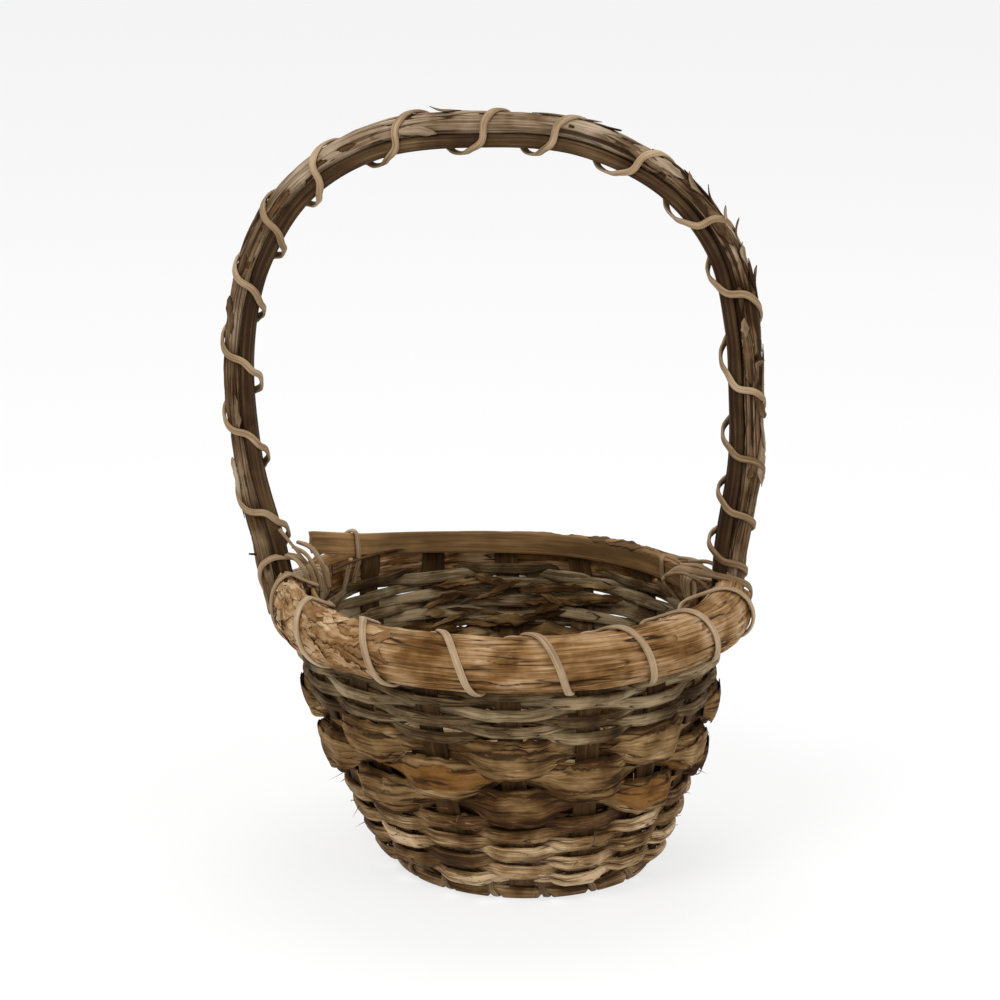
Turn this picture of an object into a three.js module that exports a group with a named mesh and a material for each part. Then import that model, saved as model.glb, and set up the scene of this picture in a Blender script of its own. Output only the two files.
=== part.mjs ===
// Hand-woven foraging basket: splint stakes, woven rows, bark rim and a lashed arch handle.
// Millimetres, +Z up, origin on the floor under the middle of the basket and its handle.
// An azimuth runs from the front (-Y) towards +X. A profile point is (radius, height).
import * as THREE from 'three';

// Splints: flat strips that each run up one wall, across the base and up the other wall
const splintWidth = 12;
const splintThickness = 1.5;
const splintTopHeight = 137;
const matPitch = 15;
const matStripsAlong = 5;
const matStripsAcross = 3;
const stakeCount = 2 * (matStripsAlong + matStripsAcross);

// Wall: turns up just outside the base ring and is widest under the rim
const turnOverhang = 3.6;
const bellyRadius = 100;
const clearance = 0.3;
const leanShare = 0.08;
const leanFootOffset = 16.6;

// Base ring that the basket stands on, dented where its lashing passes under it
const ringRadius = 59;
const ringWidth = 9;
const ringHeight = 6;

// Woven rows: the climb along the wall from the first row to the last is shared out among them
const weaverThickness = 3;
const weaverBulge = 0.7;
const firstRowRise = 9.7;
const topRowDrop = 21.9;
const lowerRowCount = 7;
const lowerRowGap = 0.6;
const lowerBandEndShare = 0.2913;
const upperRowCount = 6;
const upperRowGap = 1.4;
const upperBandStartShare = 0.7442;
const baseRowGap = 2.3;
const rowEndGap = 0.8;

// Bark rows: fat twists of bark that swell where they pass outside a stake. Their heights are
// shares of the rows' pitch.
const barkRowCount = 3;
const barkBandStartShare = 0.3828;
const barkBandEndShare = 0.6555;
const barkThickness = 7;
const barkInnerThickness = 5;
const barkSwellShare = 1.575;
const barkEdgeShare = 1.096;
const barkCrossingShare = 0.97;
const barkInnerShare = 0.651;

// Rim: a bark roll outside the stakes, a flat hoop inside them. Drops are measured from the stake tops.
const rollSeatGap = 1.5;
const rollRadialSize = 20.6;
const frontRollDrop = 4;
const frontRollSize = 27;
const backRollDrop = 8.5;
const backRollSize = 20;
const hoopWidth = 12;
const hoopThickness = 2;
const hoopDrop = 3;
const hoopLeaveRise = 7.5;
const hoopEndRise = 17.4;
const hoopFreeLength = 41;

// Handle: two core rods inside, a thicker bark-covered rod outside, in one arch that swings out
// past its feet and rises over the stake tops
const coreDiameter = 6.6;
const legBarkDiameter = 9.5;
const crownBarkDiameter = 12.5;
const handleSpread = 15.17;
const handleSeamRise = 224.5;
const coreFootDepth = 17;
const barkFootLift = 5;

// Cane of every lashing
const caneWidth = 4;
const caneThickness = 1.8;
const bindingSlack = 1.6;
const footTurnPitch = 5.8;
const footTurns = 4;
const baseCaneWidth = 3.4;
const leastSelfGap = 0.4;

const finish = {
  splint: { color: 0x4f3a26, roughness: 0.82, metalness: 0 },
  lowerWeaver: { color: 0x9a7c55, roughness: 0.78, metalness: 0 },
  upperWeaver: { color: 0x75664f, roughness: 0.84, metalness: 0 },
  bark: { color: 0x8d6638, roughness: 0.9, metalness: 0 },
  roll: { color: 0x93714a, roughness: 0.88, metalness: 0 },
  hoop: { color: 0x6f5a40, roughness: 0.6, metalness: 0 },
  core: { color: 0x5d4a35, roughness: 0.75, metalness: 0 },
  handleBark: { color: 0x6a5640, roughness: 0.92, metalness: 0 },
  cane: { color: 0xb4916b, roughness: 0.5, metalness: 0 },
};

const up = new THREE.Vector3(0, 0, 1);
const baseHeight = ringHeight + clearance + splintThickness / 2;
const turnRadius = ringRadius + turnOverhang;
const stakeStep = (2 * Math.PI) / stakeCount;
const canePadding = clearance + caneThickness / 2;
const frontRollHeight = splintTopHeight - frontRollDrop;
const backRollHeight = splintTopHeight - backRollDrop;
const hoopHeight = splintTopHeight - hoopDrop;
const coreFootHeight = splintTopHeight - coreFootDepth;

const outwardAt = (azimuth) => new THREE.Vector3(Math.sin(azimuth), -Math.cos(azimuth), 0);
const sidewaysAt = (azimuth) => new THREE.Vector3(Math.cos(azimuth), Math.sin(azimuth), 0);
const lerp = THREE.MathUtils.lerp;

/** Point of a profile carried to an azimuth, and pushed sideways there. */
function carry(profilePoint, azimuth, sideways = 0) {
  return outwardAt(azimuth)
    .multiplyScalar(profilePoint.x)
    .addScaledVector(sidewaysAt(azimuth), sideways)
    .addScaledVector(up, profilePoint.y);
}

/** Straight-line value of a table of [place, value] rows at a place. */
function readTable(table, place) {
  const next = Math.max(1, table.findIndex(([tablePlace]) => tablePlace >= place));
  const [[placeA, valueA], [placeB, valueB]] = [table[next - 1], table[next]];
  return lerp(valueA, valueB, (place - placeA) / (placeB - placeA));
}

/** Closed body through a row of rings with equal point counts, capped at both ends or joined up. */
function loft(rings, joined = false) {
  const sides = rings[0].length;
  const positions = rings.flat().flatMap((point) => [point.x, point.y, point.z]);
  const faces = [];
  const spans = joined ? rings.length : rings.length - 1;
  for (let ring = 0; ring < spans; ring += 1) {
    const here = ring * sides;
    const there = ((ring + 1) % rings.length) * sides;
    for (let side = 0; side < sides; side += 1) {
      const next = (side + 1) % sides;
      faces.push(here + side, there + side, there + next, here + side, there + next, here + next);
    }
  }
  if (!joined) {
    const last = (rings.length - 1) * sides;
    for (let side = 1; side < sides - 1; side += 1) {
      faces.push(0, side, side + 1, last, last + side + 1, last + side);
    }
  }
  return outwardFaced(positions, faces);
}

/** Indexed geometry with its faces turned outwards, as its signed volume tells. */
function outwardFaced(positions, faces) {
  const corner = (index) => new THREE.Vector3().fromArray(positions, index * 3);
  let volume = 0;
  for (let face = 0; face < faces.length; face += 3) {
    const [a, b, c] = [corner(faces[face]), corner(faces[face + 1]), corner(faces[face + 2])];
    volume += a.dot(b.cross(c));
  }
  if (volume < 0) {
    faces.reverse();
  }
  const geometry = new THREE.BufferGeometry();
  geometry.setAttribute('position', new THREE.Float32BufferAttribute(positions, 3));
  geometry.setIndex(faces);
  return geometry;
}

/** Ring of an oval section: `wide` and `thick` are its full sizes along the two axes. */
function ovalRing(centre, wideAxis, thickAxis, wide, thick, sides) {
  return Array.from({ length: sides }, (_, side) => {
    const turn = (2 * Math.PI * (side + 0.5)) / sides;
    return centre
      .clone()
      .addScaledVector(wideAxis, (wide / 2) * Math.cos(turn))
      .addScaledVector(thickAxis, (thick / 2) * Math.sin(turn));
  });
}

/** Ring of a rectangular section. */
function stripRing(centre, wideAxis, thickAxis, wide, thick) {
  const corners = [[1, 1], [-1, 1], [-1, -1], [1, -1]];
  return corners.map(([wideSign, thickSign]) =>
    centre
      .clone()
      .addScaledVector(wideAxis, (wideSign * wide) / 2)
      .addScaledVector(thickAxis, (thickSign * thick) / 2));
}

// Wall profile: shares of the way from the turn at the base out to the belly and up to the top
const wallShares = [
  [0, 0], [0.107, 0.018], [0.182, 0.047], [0.251, 0.084], [0.353, 0.146], [0.449, 0.215],
  [0.578, 0.331], [0.687, 0.446], [0.794, 0.561], [0.904, 0.677], [0.963, 0.738], [0.995, 0.785],
  [1, 0.823], [0.979, 0.861], [0.936, 0.9], [0.898, 0.938], [0.885, 1],
];
const wall = wallShares.map(([outShare, upShare]) =>
  new THREE.Vector2(lerp(turnRadius, bellyRadius, outShare), lerp(baseHeight, splintTopHeight, upShare)));
const profile = [new THREE.Vector2(0, baseHeight), ...wall];
const profileLengths = profile.reduce((lengths, point, index) => {
  const step = index === 0 ? 0 : point.distanceTo(profile[index - 1]);
  return [...lengths, (lengths.at(-1) ?? 0) + step];
}, []);

/** Point, upward direction and outward direction of the wall at a distance along its profile. */
function wallAt(distance) {
  const next = Math.max(1, profileLengths.findIndex((length) => length >= distance));
  const spanShare = (distance - profileLengths[next - 1]) / (profileLengths[next] - profileLengths[next - 1]);
  const point = profile[next - 1].clone().lerp(profile[next], spanShare);
  const ahead = profile[Math.min(next + 1, profile.length - 1)];
  const behind = profile[Math.max(next - 2, 0)];
  const rise = spanShare < 0.5
    ? profile[next].clone().sub(behind).normalize()
    : ahead.clone().sub(profile[next - 1]).normalize();
  const straight = profile[next].clone().sub(profile[next - 1]).normalize();
  rise.lerp(straight, 1 - Math.abs(2 * spanShare - 1)).normalize();
  return { point, rise, out: new THREE.Vector2(rise.y, -rise.x) };
}

/** Wall radius at a height above the base. */
function wallRadiusAt(height) {
  return readTable(wall.map((point) => [point.y, point.x]), height);
}

/** Sheared copy of the upright basket: it leans to one side as it rises. */
const lean = new THREE.Matrix4()
  .makeTranslation(leanFootOffset, 0, 0)
  .multiply(new THREE.Matrix4().makeShear(0, 0, 0, 0, -leanShare, 0));
const basket = new THREE.Group();
basket.name = 'mushroom_foraging_basket';

function addPart(name, geometry, material) {
  geometry.applyMatrix4(lean);
  geometry.computeVertexNormals();
  const mesh = new THREE.Mesh(geometry, new THREE.MeshStandardMaterial(material));
  mesh.name = name;
  basket.add(mesh);
}

/** Route of one splint as points with the direction of its outer face. */
function splintRoute(azimuth, matOffset, crossings, firstIsOver) {
  const wallRun = wall.map((point, index) => {
    const before = wall[Math.max(index - 1, 0)];
    const after = wall[Math.min(index + 1, wall.length - 1)];
    const rise = after.clone().sub(before).normalize();
    const out = index === 0 ? new THREE.Vector2(0, -1) : new THREE.Vector2(rise.y, -rise.x);
    return { point, out };
  });
  const far = Math.PI - azimuth;
  const onWall = (wallAzimuth) => ({ point, out }) => ({
    point: carry(point, wallAzimuth),
    out: carry(out, wallAzimuth),
  });
  const join = new THREE.Vector2(baseRowRadius - lowerWeaverHeight / 2 - 2 * clearance, baseHeight);
  const down = up.clone().negate();
  const holdLength = splintWidth / 2 + clearance + clearance / 2;
  const wave = (splintThickness + clearance) / 2;
  const mat = crossings.flatMap((crossing, index) => {
    const height = baseHeight + ((index % 2 === 0) === firstIsOver ? wave : -wave);
    return [-holdLength, holdLength].map((hold) => ({
      point: new THREE.Vector3(matOffset, crossing + hold, height),
      out: down,
    }));
  });
  return [
    ...wallRun.map(onWall(azimuth)).reverse(),
    { point: carry(join, azimuth), out: down },
    ...mat,
    { point: carry(join, far), out: down },
    ...wallRun.map(onWall(far)),
  ];
}

/** Strip geometry along a splint's route. */
function splintGeometry(route) {
  const rings = route.map(({ point, out }, index) => {
    const before = route[Math.max(index - 1, 0)].point;
    const after = route[Math.min(index + 1, route.length - 1)].point;
    const wide = after.clone().sub(before).cross(out).normalize();
    return stripRing(point, wide, out, splintWidth, splintThickness);
  });
  return loft(rings);
}

function addSplints() {
  const centred = (count) => Array.from({ length: count }, (_, index) => index - (count - 1) / 2);
  const acrossPlaces = centred(matStripsAcross).map((step) => step * matPitch);
  const alongPlaces = centred(matStripsAlong).map((step) => step * matPitch);
  centred(matStripsAlong).forEach((step, index) => {
    const route = splintRoute(step * stakeStep, step * matPitch, acrossPlaces, index % 2 === 0);
    addPart(`splint_front_back_${index + 1}`, splintGeometry(route), finish.splint);
  });
  centred(matStripsAcross).forEach((step, index) => {
    const route = splintRoute(step * stakeStep, step * matPitch, alongPlaces, index % 2 === 1);
    const geometry = splintGeometry(route);
    geometry.rotateZ(Math.PI / 2);
    addPart(`splint_left_right_${index + 1}`, geometry, finish.splint);
  });
}

/**
 * Route of a woven row: held off the flat face of each stake on one side, then on the other.
 * `rowIndex` sets which stakes it passes outside, and its two ends meet behind an inner stake.
 */
function rowRoute(distance, rowIndex, outside, inside, bulge, crossing) {
  const { point, rise, out } = wallAt(distance);
  const firstStake = rowIndex % 2 === 0 ? 1 : 0;
  const hold = splintWidth / 2 + clearance;
  const stations = [];
  const add = (stake, sideways, side, size, extra = 0) => {
    const offset = side * (splintThickness / 2 + clearance + size.thickness / 2) + extra;
    const azimuth = stake * stakeStep;
    const centre = carry(point.clone().addScaledVector(out, offset), azimuth, sideways);
    stations.push({ centre, rise: carry(rise, azimuth), out: carry(out, azimuth), ...size });
  };
  for (let step = 0; step <= stakeCount; step += 1) {
    const stake = firstStake + step;
    const isOutside = step % 2 === 1;
    const side = isOutside ? 1 : -1;
    const size = isOutside ? outside : inside;
    if (step > 0) {
      add(stake, -hold, side, size.edge);
    }
    if (step === 0 || step === stakeCount) {
      add(stake, (step === 0 ? rowEndGap : -rowEndGap) / 2, side, size.middle);
    } else {
      add(stake, 0, side, size.middle, isOutside ? bulge : 0);
    }
    if (step < stakeCount) {
      add(stake, hold, side, size.edge);
    }
    if (crossing && step < stakeCount) {
      const azimuth = (stake + 0.5) * stakeStep;
      const centre = carry(point, azimuth);
      stations.push({ centre, rise: carry(rise, azimuth), out: carry(out, azimuth), ...crossing });
    }
  }
  return stations;
}

// Rows climb from the turn at the base: lower rows, bark rows, upper rows
const firstLowerRow = turnRadius + firstRowRise;
const climb = profileLengths.at(-1) - topRowDrop - firstLowerRow;
const lowerRowPitch = (climb * lowerBandEndShare) / (lowerRowCount - 1);
const lowerWeaverHeight = lowerRowPitch - lowerRowGap;
const firstBarkRow = firstLowerRow + climb * barkBandStartShare;
const barkRowPitch = (climb * (barkBandEndShare - barkBandStartShare)) / (barkRowCount - 1);
const firstUpperRow = firstLowerRow + climb * upperBandStartShare;
const upperRowPitch = (climb * (1 - upperBandStartShare)) / (upperRowCount - 1);
const upperWeaverHeight = upperRowPitch - upperRowGap;

// Base row: woven on the flat of the base, inside the ring and its lashing
const baseRowOuter = ringRadius - ringWidth / 2 - caneThickness - 2 * clearance - baseRowGap;
const baseRowRadius = baseRowOuter - lowerWeaverHeight / 2;

function addWovenRows() {
  const weaver = (height) => {
    const size = { height, thickness: weaverThickness };
    return { edge: size, middle: size };
  };
  const flatRing = ({ centre, rise, out, height, thickness }) => stripRing(centre, rise, out, height, thickness);
  const addRow = (name, distance, rowIndex, height, material) => {
    const route = rowRoute(distance, rowIndex, weaver(height), weaver(height), weaverBulge, null);
    addPart(name, loft(route.map(flatRing)), material);
  };
  addRow('weaver_base', baseRowRadius, 0, lowerWeaverHeight, finish.lowerWeaver);
  for (let row = 1; row <= lowerRowCount; row += 1) {
    const distance = firstLowerRow + (row - 1) * lowerRowPitch;
    addRow(`weaver_lower_${row}`, distance, row, lowerWeaverHeight, finish.lowerWeaver);
  }

  const barkOutside = {
    edge: { height: barkRowPitch * barkEdgeShare, thickness: barkThickness },
    middle: { height: barkRowPitch * barkSwellShare, thickness: barkThickness },
  };
  const barkInside = {
    edge: { height: barkRowPitch * barkInnerShare, thickness: barkInnerThickness },
    middle: { height: barkRowPitch * barkInnerShare, thickness: barkInnerThickness },
  };
  const barkCrossing = { height: barkRowPitch * barkCrossingShare, thickness: barkInnerThickness };
  for (let row = 1; row <= barkRowCount; row += 1) {
    const distance = firstBarkRow + (row - 1) * barkRowPitch;
    const route = rowRoute(distance, lowerRowCount + row, barkOutside, barkInside, 0, barkCrossing);
    const rings = route.map(({ centre, rise, out, height, thickness }) =>
      ovalRing(centre, rise, out, height, thickness, 6));
    addPart(`bark_row_${row}`, loft(rings), finish.bark);
  }

  for (let row = 1; row <= upperRowCount; row += 1) {
    const distance = firstUpperRow + (row - 1) * upperRowPitch;
    addRow(`weaver_upper_${row}`, distance, lowerRowCount + barkRowCount + row, upperWeaverHeight,
      finish.upperWeaver);
  }
}

/** Corners of the tightest loop round a set of profile points, kept a padding away from them. */
function loopRound(points, padding, lineCount) {
  const lines = Array.from({ length: lineCount }, (_, index) => {
    const angle = (2 * Math.PI * index) / lineCount;
    const direction = new THREE.Vector2(Math.cos(angle), Math.sin(angle));
    return { direction, reach: Math.max(...points.map((point) => point.dot(direction))) + padding };
  });
  return lines.map((line, index) => {
    const next = lines[(index + 1) % lineCount];
    const spread = line.direction.cross(next.direction);
    return new THREE.Vector2(
      (line.reach * next.direction.y - next.reach * line.direction.y) / spread,
      (next.reach * line.direction.x - line.reach * next.direction.x) / spread,
    );
  });
}

/** Cane along a route of points with the direction that its flat back faces away from. */
function caneGeometry(name, route, width, sides = 5) {
  const rings = route.map(({ point, out }, index) => {
    const before = route[Math.max(index - 1, 0)].point;
    const after = route[Math.min(index + 1, route.length - 1)].point;
    const along = after.clone().sub(before).normalize();
    const wide = along.clone().cross(out).normalize();
    return ovalRing(point, wide, wide.clone().cross(along).normalize(), width, caneThickness, sides);
  });
  const gap = selfGap(rings, route);
  console.log(`${name}: least gap to itself ${gap.toFixed(2)} mm`);
  if (gap < leastSelfGap) {
    console.warn(`${name}: the gap is under ${leastSelfGap} mm`);
  }
  return loft(rings);
}

/** Least distance between points of two rings that lie more than half a turn of cane apart. */
function selfGap(rings, route) {
  const middles = rings.slice(1).map((ring, index) =>
    ring.map((point, side) => point.clone().lerp(rings[index][side], 0.5)));
  const stations = rings.flatMap((ring, index) => (index < middles.length ? [ring, middles[index]] : [ring]));
  const centre = (index) => route[Math.floor(index / 2)].point;
  let least = Infinity;
  for (let first = 0; first < stations.length; first += 1) {
    for (let second = first + loopLines; second < stations.length; second += 1) {
      if (centre(first).distanceTo(centre(second)) > least + 3 * caneWidth) {
        continue;
      }
      for (const a of stations[first]) {
        for (const b of stations[second]) {
          least = Math.min(least, a.distanceTo(b));
        }
      }
    }
  }
  return least;
}
const loopLines = 12;

// Rim roll: an oval section outside the stakes, flat-bottomed at neither end
const rollRadius = wallRadiusAt(splintTopHeight) + splintThickness / 2 + rollSeatGap + rollRadialSize / 2;
const legHalfWidth = coreDiameter + clearance / 2;
const rollEndAzimuth = Math.asin((legHalfWidth + clearance) / (rollRadius - rollRadialSize / 2));

function rollSection(size, height) {
  const sides = 8;
  return Array.from({ length: sides }, (_, side) => {
    const turn = (2 * Math.PI * side) / sides;
    return new THREE.Vector2(
      rollRadius + (rollRadialSize / 2) * Math.cos(turn),
      height + (size / 2) * Math.sin(turn),
    );
  });
}

function addRimRolls() {
  const steps = 26;
  const rolls = [
    ['rim_roll_front', frontRollSize, frontRollHeight, 0],
    ['rim_roll_back', backRollSize, backRollHeight, Math.PI],
  ];
  for (const [name, size, height, middle] of rolls) {
    const reach = Math.PI / 2 - rollEndAzimuth;
    const section = rollSection(size, height);
    const rings = Array.from({ length: steps + 1 }, (_, step) => {
      const azimuth = middle + lerp(-reach, reach, step / steps);
      return section.map((point) => carry(point, azimuth));
    });
    addPart(name, loft(rings), finish.roll);
  }
}

// Inner hoop: from the left foot round the front and the back, then straight off to its free end
const hoopRadius = wallRadiusAt(splintTopHeight) - splintThickness / 2 - clearance - hoopThickness / 2;
const hoopStart = -0.62 * Math.PI;
const hoopLeave = 1.275 * Math.PI;
const hoopRiseStart = 0.98 * Math.PI;

/** How far the hoop has risen above its seat at an azimuth: in a curve inside the stakes, then evenly. */
function hoopRiseAt(azimuth) {
  const isPastFreeEnd = azimuth > 2 * Math.PI + hoopStart;
  if (azimuth < hoopRiseStart || isPastFreeEnd) {
    return 0;
  }
  if (azimuth < hoopLeave) {
    return hoopLeaveRise * ((azimuth - hoopRiseStart) / (hoopLeave - hoopRiseStart)) ** 2;
  }
  const freeShare = (hoopRadius * Math.tan(azimuth - hoopLeave)) / hoopFreeLength;
  return lerp(hoopLeaveRise, hoopEndRise, freeShare);
}

function addInnerHoop() {
  const steps = 40;
  const section = (point, out) => stripRing(point, up, out, hoopWidth, hoopThickness);
  const rings = Array.from({ length: steps + 1 }, (_, step) => {
    const azimuth = lerp(hoopStart, hoopLeave, step / steps);
    const centre = new THREE.Vector2(hoopRadius, hoopHeight + hoopRiseAt(azimuth));
    return section(carry(centre, azimuth), outwardAt(azimuth));
  });
  const freeEnd = new THREE.Vector2(hoopRadius, hoopHeight + hoopEndRise);
  rings.push(section(carry(freeEnd, hoopLeave, hoopFreeLength), outwardAt(hoopLeave)));
  addPart('rim_inner_hoop', loft(rings), finish.hoop);
}

/** Turn table: how far round the rim the cane has moved, in shares of a pitch, by share of its turn. */
const rimTurnShares = [[0, 0], [0.25, 0.16], [0.5, 0.36], [0.75, 0.72], [0.833, 0.97], [1, 1]];
const evenTurnShares = [[0, 0], [1, 1]];

/** Lashing round the rim: each turn starts under the roll and climbs its outside first. */
function rimLashing({ startAzimuth, pitch, fromTurn, toTurn, turnShares, size, height }) {
  const firstStep = Math.round(fromTurn * loopLines);
  const lastStep = Math.round(toTurn * loopLines);
  const route = [];
  for (let step = firstStep; step <= lastStep; step += 1) {
    const turn = Math.floor(step / loopLines);
    const stepShare = (step - turn * loopLines) / loopLines;
    const azimuth = startAzimuth - pitch * (turn + readTable(turnShares, stepShare));
    const hoopInner = hoopRadius - hoopThickness / 2;
    const reach = caneWidth / hoopInner;
    const wrapped = [
      ...rollSection(size, height),
      new THREE.Vector2(hoopInner, hoopHeight - hoopWidth / 2 + hoopRiseAt(azimuth - reach)),
      new THREE.Vector2(hoopInner, hoopHeight + hoopWidth / 2 + hoopRiseAt(azimuth + reach)),
    ];
    const corners = loopRound(wrapped, canePadding, loopLines);
    const index = (step + (3 * loopLines) / 4 + loopLines * 8) % loopLines;
    const outAngle = (2 * Math.PI * (index + 0.5)) / loopLines;
    const out = new THREE.Vector2(Math.cos(outAngle), Math.sin(outAngle));
    route.push({ point: carry(corners[index], azimuth), out: carry(out, azimuth) });
  }
  return route;
}

const bayOffset = 0.22 * stakeStep;
const front = { size: frontRollSize, height: frontRollHeight };
const back = { size: backRollSize, height: backRollHeight };

function addRimLashings() {
  const frontRoute = rimLashing({
    ...front,
    startAzimuth: Math.PI / 2 - stakeStep / 2 + bayOffset,
    pitch: stakeStep,
    fromTurn: -0.25,
    toTurn: 7.667,
    turnShares: rimTurnShares,
  });
  addPart('rim_lashing_front', caneGeometry('rim_lashing_front', frontRoute, caneWidth), finish.cane);

  const tiePitch = (2 * caneWidth) / rollRadius;
  const ties = [
    ['rim_tie_left', 10.5 * stakeStep],
    ['rim_tie_right', 5.5 * stakeStep],
  ];
  for (const [name, startAzimuth] of ties) {
    const route = rimLashing({
      ...back, startAzimuth, pitch: tiePitch, fromTurn: -0.25, toTurn: 1.25, turnShares: evenTurnShares,
    });
    addPart(name, caneGeometry(name, route, caneWidth), finish.cane);
  }
}

// Handle seam: the line between the core rods and the bark rod, as shares of half span and of rise
const handleShares = [
  [-0.912, 0.145], [-0.98, 0.34], [-0.978, 0.555], [-0.885, 0.737], [-0.677, 0.886],
  [-0.368, 0.975], [0.027, 1], [0.412, 0.986], [0.746, 0.901], [0.937, 0.775], [0.996, 0.62],
  [0.998, 0.5], [0.982, 0.345], [0.902, 0.145],
];
const footRadius = wallRadiusAt(coreFootHeight) + splintThickness / 2 + 2 * clearance + coreDiameter;
const handleHalfSpan = footRadius + handleSpread;
const handleRise = handleSeamRise + coreFootDepth;
const seam = new THREE.CatmullRomCurve3([
  new THREE.Vector3(-footRadius, 0, coreFootHeight),
  ...handleShares.map(([outShare, upShare]) =>
    new THREE.Vector3(outShare * handleHalfSpan, 0, coreFootHeight + upShare * handleRise)),
  new THREE.Vector3(footRadius, 0, coreFootHeight),
], false, 'centripetal');
const seamLength = seam.getLength();

/** Point of the handle beside its seam: `out` away from the arch's middle, `back` towards +Y. */
function besideSeam(place, out, back) {
  const along = seam.getTangentAt(place);
  const outward = new THREE.Vector3(-along.z, 0, along.x);
  const point = seam.getPointAt(place).addScaledVector(outward, out);
  point.y += back;
  return { point, outward, along };
}

/** Path of a rod that runs beside the seam at a fixed distance. */
class RodPath extends THREE.Curve {
  constructor(out, back) {
    super();
    this.out = out;
    this.back = back;
  }

  getPoint(share, target = new THREE.Vector3()) {
    return target.copy(besideSeam(share, this.out, this.back).point);
  }
}

/** Diameter of the bark rod: thick over the crown, thin in the legs, with a slow swell of its own. */
function barkDiameterAt(place) {
  const crown = Math.sin(Math.PI * place) ** 2;
  const swell = 1 + 0.04 * Math.sin(14 * Math.PI * place);
  return lerp(legBarkDiameter, crownBarkDiameter, crown) * swell;
}

function addHandleRods() {
  const sides = 6;
  const coreSection = new THREE.Shape(Array.from({ length: sides }, (_, side) => {
    const turn = (2 * Math.PI * (side + 0.5)) / sides;
    return new THREE.Vector2(Math.cos(turn), Math.sin(turn)).multiplyScalar(coreDiameter / 2);
  }));
  const coreSide = (coreDiameter + clearance) / 2;
  for (const [name, side] of [['handle_core_front', -coreSide], ['handle_core_back', coreSide]]) {
    const extrudePath = new RodPath(-coreSide, side);
    const geometry = new THREE.ExtrudeGeometry(coreSection, { steps: 34, bevelEnabled: false, extrudePath });
    geometry.deleteAttribute('uv');
    addPart(name, geometry, finish.core);
  }

  const steps = 36;
  const footShare = barkFootLift / seamLength;
  const rings = Array.from({ length: steps + 1 }, (_, step) => {
    const place = lerp(footShare, 1 - footShare, step / steps);
    const diameter = barkDiameterAt(place);
    const { point, outward } = besideSeam(place, (diameter + clearance) / 2, 0);
    const across = new THREE.Vector3(0, 1, 0);
    return ovalRing(point, across, outward, diameter, diameter, 8);
  });
  addPart('handle_bark_rod', loft(rings), finish.handleBark);
}

// Binding: where each front crossing lies, in shares of the seam's length from the left foot
const crossingShares = [
  0.089, 0.151, 0.208, 0.266, 0.317, 0.369, 0.435, 0.5, 0.551, 0.614, 0.677, 0.734, 0.808, 0.862,
  0.906, 0.945,
];
const bindingTurnTable = crossingShares.map((share, index) => [index, share]);

/** Corners of the binding's loop round the rods at a place, as (towards -Y, outward) points. */
function bindingLoop(place) {
  const barkRadius = barkDiameterAt(place) / 2;
  const coreReach = coreDiameter / 2;
  const coreSide = coreReach + clearance / 2;
  const circle = (side, out, radius) => Array.from({ length: 2 * loopLines }, (_, index) => {
    const angle = (Math.PI * index) / loopLines;
    return new THREE.Vector2(side + radius * Math.cos(angle), out + radius * Math.sin(angle));
  });
  return loopRound([
    ...circle(coreSide, -coreSide, coreReach),
    ...circle(-coreSide, -coreSide, coreReach),
    ...circle(0, barkRadius + clearance / 2, barkRadius),
    new THREE.Vector2(0, -coreDiameter - clearance / 2 - bindingSlack),
  ], canePadding, loopLines);
}

function addHandleBinding() {
  const frontShare = 0.42;
  const firstStep = Math.round(-0.45 * loopLines);
  const lastStep = Math.round((crossingShares.length - 1 + 0.35) * loopLines);
  const lastTurn = crossingShares.length - 1;
  const route = [];
  for (let step = firstStep; step <= lastStep; step += 1) {
    const turn = step / loopLines;
    const whole = Math.round(turn);
    const swing = turn - whole;
    const eased = Math.abs(swing) <= 0.25
      ? swing * 2 * frontShare
      : Math.sign(swing) * (frontShare / 2 + (Math.abs(swing) - 0.25) * 2 * (1 - frontShare));
    const even = THREE.MathUtils.clamp(whole + eased, 0, lastTurn);
    const beyond = whole + eased - even;
    const endPitch = beyond < 0 ? crossingShares[1] - crossingShares[0]
      : crossingShares[lastTurn] - crossingShares[lastTurn - 1];
    const place = readTable(bindingTurnTable, even) + beyond * endPitch;
    const index = (step + 8 * loopLines) % loopLines;
    const corner = bindingLoop(place)[index];
    const { point, outward } = besideSeam(place, corner.y, -corner.x);
    const outAngle = (2 * Math.PI * (index + 0.5)) / loopLines;
    const out = outward.clone().multiplyScalar(Math.sin(outAngle));
    out.y -= Math.cos(outAngle);
    route.push({ point, out });
  }
  addPart('handle_binding', caneGeometry('handle_binding', route, caneWidth), finish.cane);
}

/** Foot lashing: turns round the rim just behind a handle foot, then one loop round the foot. */
function addFootLashings() {
  const pitch = footTurnPitch / rollRadius;
  const firstGap = (splintWidth / 2 + 2 * clearance + caneWidth / 2) / hoopRadius;
  const feet = [
    ['foot_lashing_right', Math.PI / 2 + firstGap + (footTurns + 0.25) * pitch],
    ['foot_lashing_left', (3 * Math.PI) / 2 - firstGap],
  ];
  for (const [name, startAzimuth] of feet) {
    const route = rimLashing({
      ...back, startAzimuth, pitch, fromTurn: 0.25, toTurn: footTurns, turnShares: evenTurnShares,
    });
    addPart(name, caneGeometry(name, route, caneWidth), finish.cane);
  }
}

// Base ring: its underside rises into a dent in the middle of each bay
const dentDepth = caneThickness + 2 * clearance;
const dentStartShare = 0.3;
const dentEndShare = 0.7;
const dentSlopeShare = 0.03;

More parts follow.
